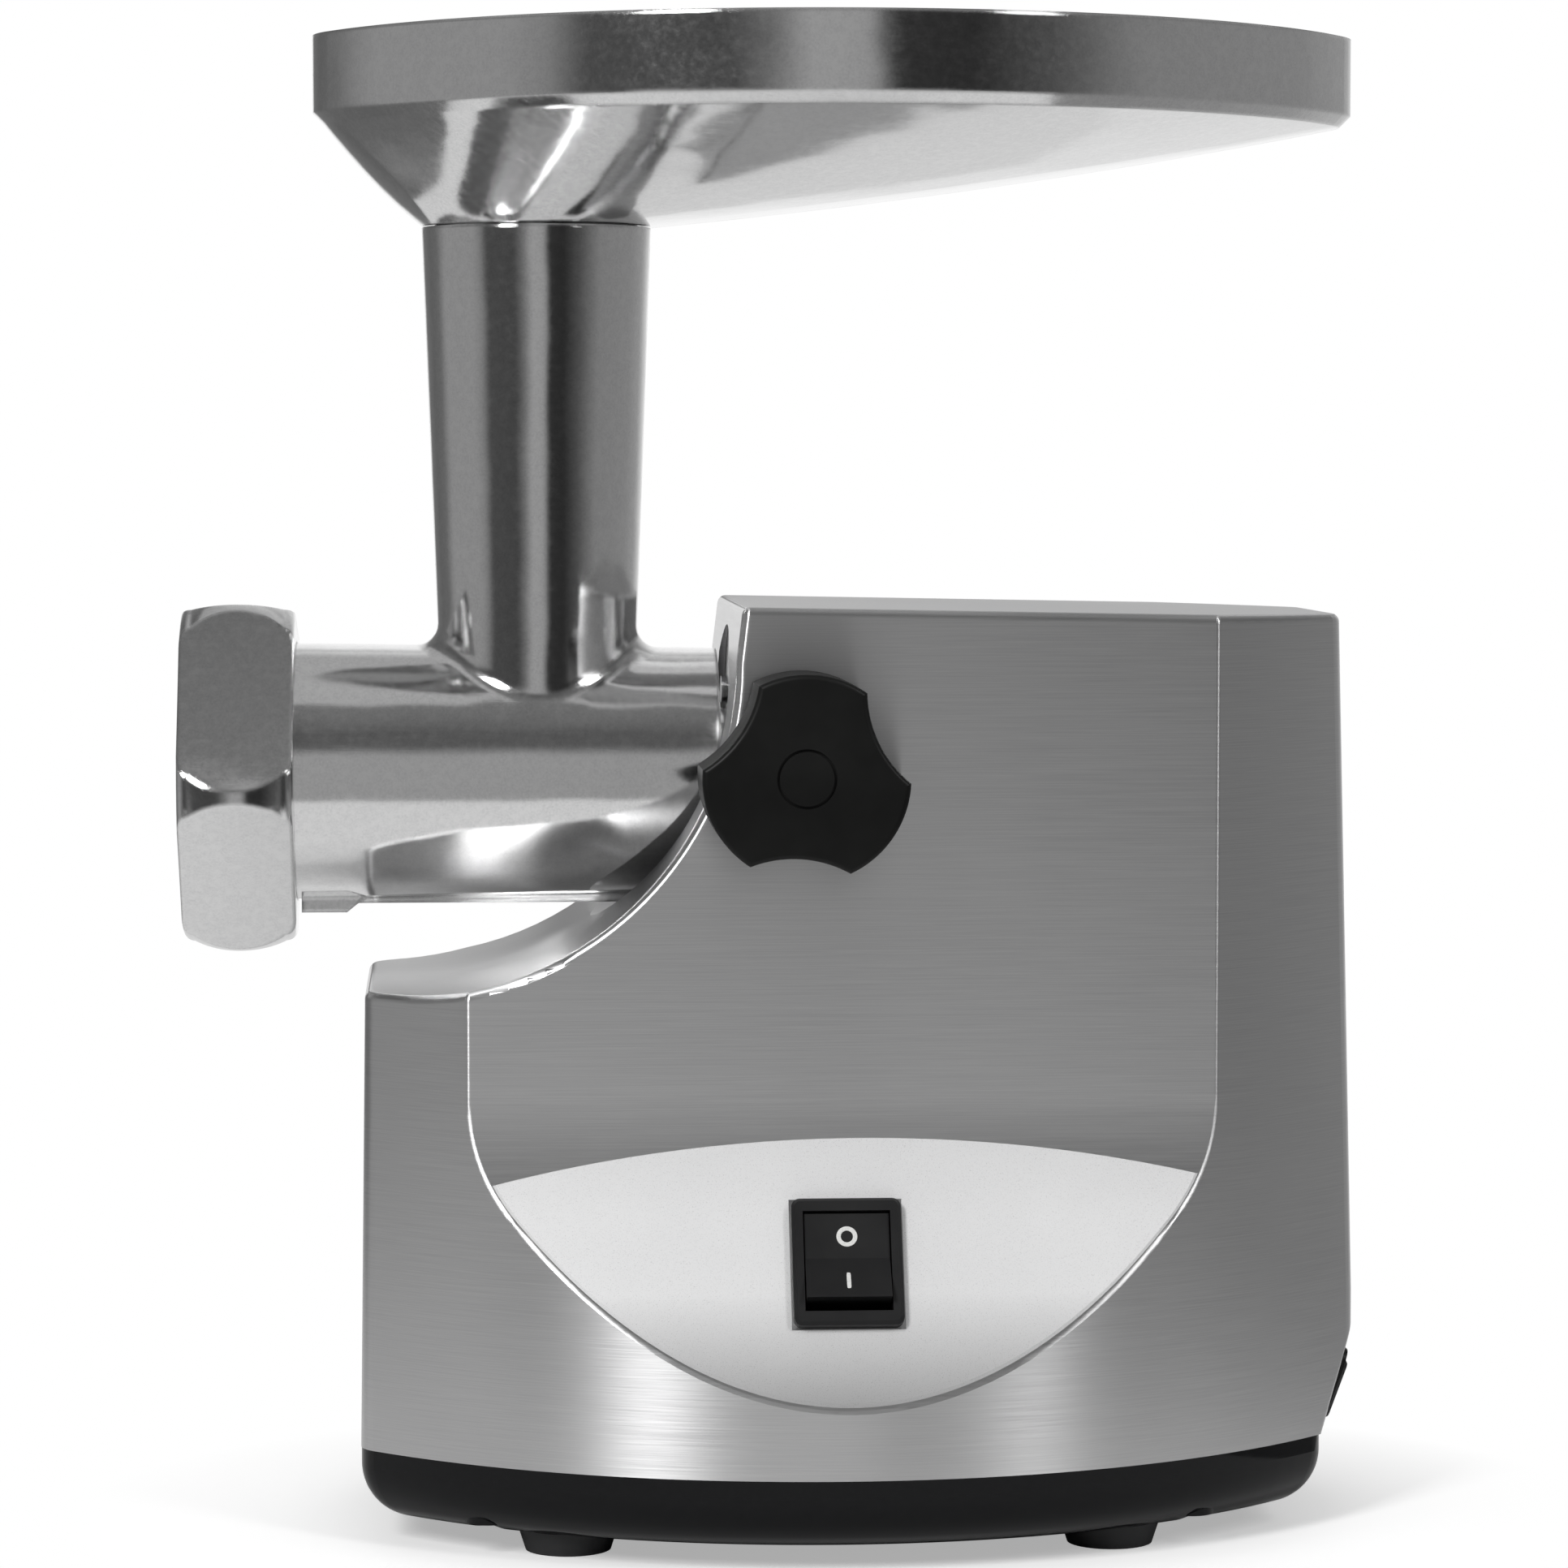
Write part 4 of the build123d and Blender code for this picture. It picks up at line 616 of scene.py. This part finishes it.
def makeFloor():
    look = floorLook
    mesh = floorMesh()
    finish, tree, shader = startFinish("paleFloor", Base_Color=look["tone"], Roughness=look["rough"])
    seen = addNode(tree, "ShaderNodeLightPath")
    lift = addNode(tree, "ShaderNodeMath", operation="MULTIPLY")
    lift.inputs[1].default_value = look["lift"]
    joined(tree, seen.outputs["Is Camera Ray"], lift.inputs[0])
    shader.inputs["Emission Color"].default_value = white
    joined(tree, lift.outputs[0], shader.inputs["Emission Strength"])
    shown = reckoned(tree, "MAXIMUM", seen.outputs["Is Camera Ray"], seen.outputs["Is Glossy Ray"])
    shown = reckoned(tree, "MAXIMUM", shown, seen.outputs["Is Transmission Ray"])
    share = reckoned(tree, "MULTIPLY", outsideOval(tree), shown)
    glow = addNode(tree, "ShaderNodeEmission")
    strength = spread(tree, seen.outputs["Is Camera Ray"], look["inMetal"], 1.0, 0.0, 1.0)
    joined(tree, strength, glow.inputs["Strength"])
    both = addNode(tree, "ShaderNodeMixShader")
    joined(tree, share, both.inputs[0])
    joined(tree, shader.outputs["BSDF"], both.inputs[1])
    joined(tree, glow.outputs["Emission"], both.inputs[2])
    joined(tree, both.outputs["Shader"], tree.nodes["Material Output"].inputs["Surface"])
    mesh.materials.append(finish)
    floor = bpy.data.objects.new("studioFloor", mesh)
    bpy.context.scene.collection.objects.link(floor)


# turns a lamp or the camera from its place towards a point
def aimed(thing, place, target):
    thing.location = place
    thing.rotation_euler = (Vector(target) - Vector(place)).to_track_quat("-Z", "Y").to_euler()
    bpy.context.scene.collection.objects.link(thing)


# each lamp's place, width and height, and power in watts; all are aimed at one point
lampLook = dict(
    aim=(0.0, 0.0, 0.17),
    lamps=dict(keySoftbox=((-0.82, -1.26, 1.08), (0.36, 0.7), 17.0),
               fillSoftbox=((0.98, -1.13, 1.08), (0.30, 0.7), 6.6),
               topSoftbox=((0.1, 0.35, 1.9), (2.6, 2.6), 5.0)))


def makeLamps():
    for name, (place, size, power) in lampLook["lamps"].items():
        light = bpy.data.lights.new(name, "AREA")
        light.shape = "RECTANGLE"
        light.energy = power
        light.size, light.size_y = size
        aimed(bpy.data.objects.new(name, light), place, lampLook["aim"])


cameraLook = dict(
    place=(-0.0738, -1.1975, 0.2467), target=(0.00365, 0.0, 0.1715),
    lens=117.7, sensor=36.0, clip=(0.05, 50.0))


def makeCamera():
    camera = bpy.data.objects.new("photoCamera", bpy.data.cameras.new("photoCamera"))
    camera.data.lens = cameraLook["lens"]
    camera.data.sensor_width = cameraLook["sensor"]
    camera.data.clip_start, camera.data.clip_end = cameraLook["clip"]
    aimed(camera, cameraLook["place"], cameraLook["target"])
    bpy.context.scene.camera = camera


makeRoom()
makeFloor()
makeLamps()
makeCamera()
bpy.context.scene.view_settings.view_transform = "Standard"
print("studio ready:", len(lampLook["lamps"]), "lamps")
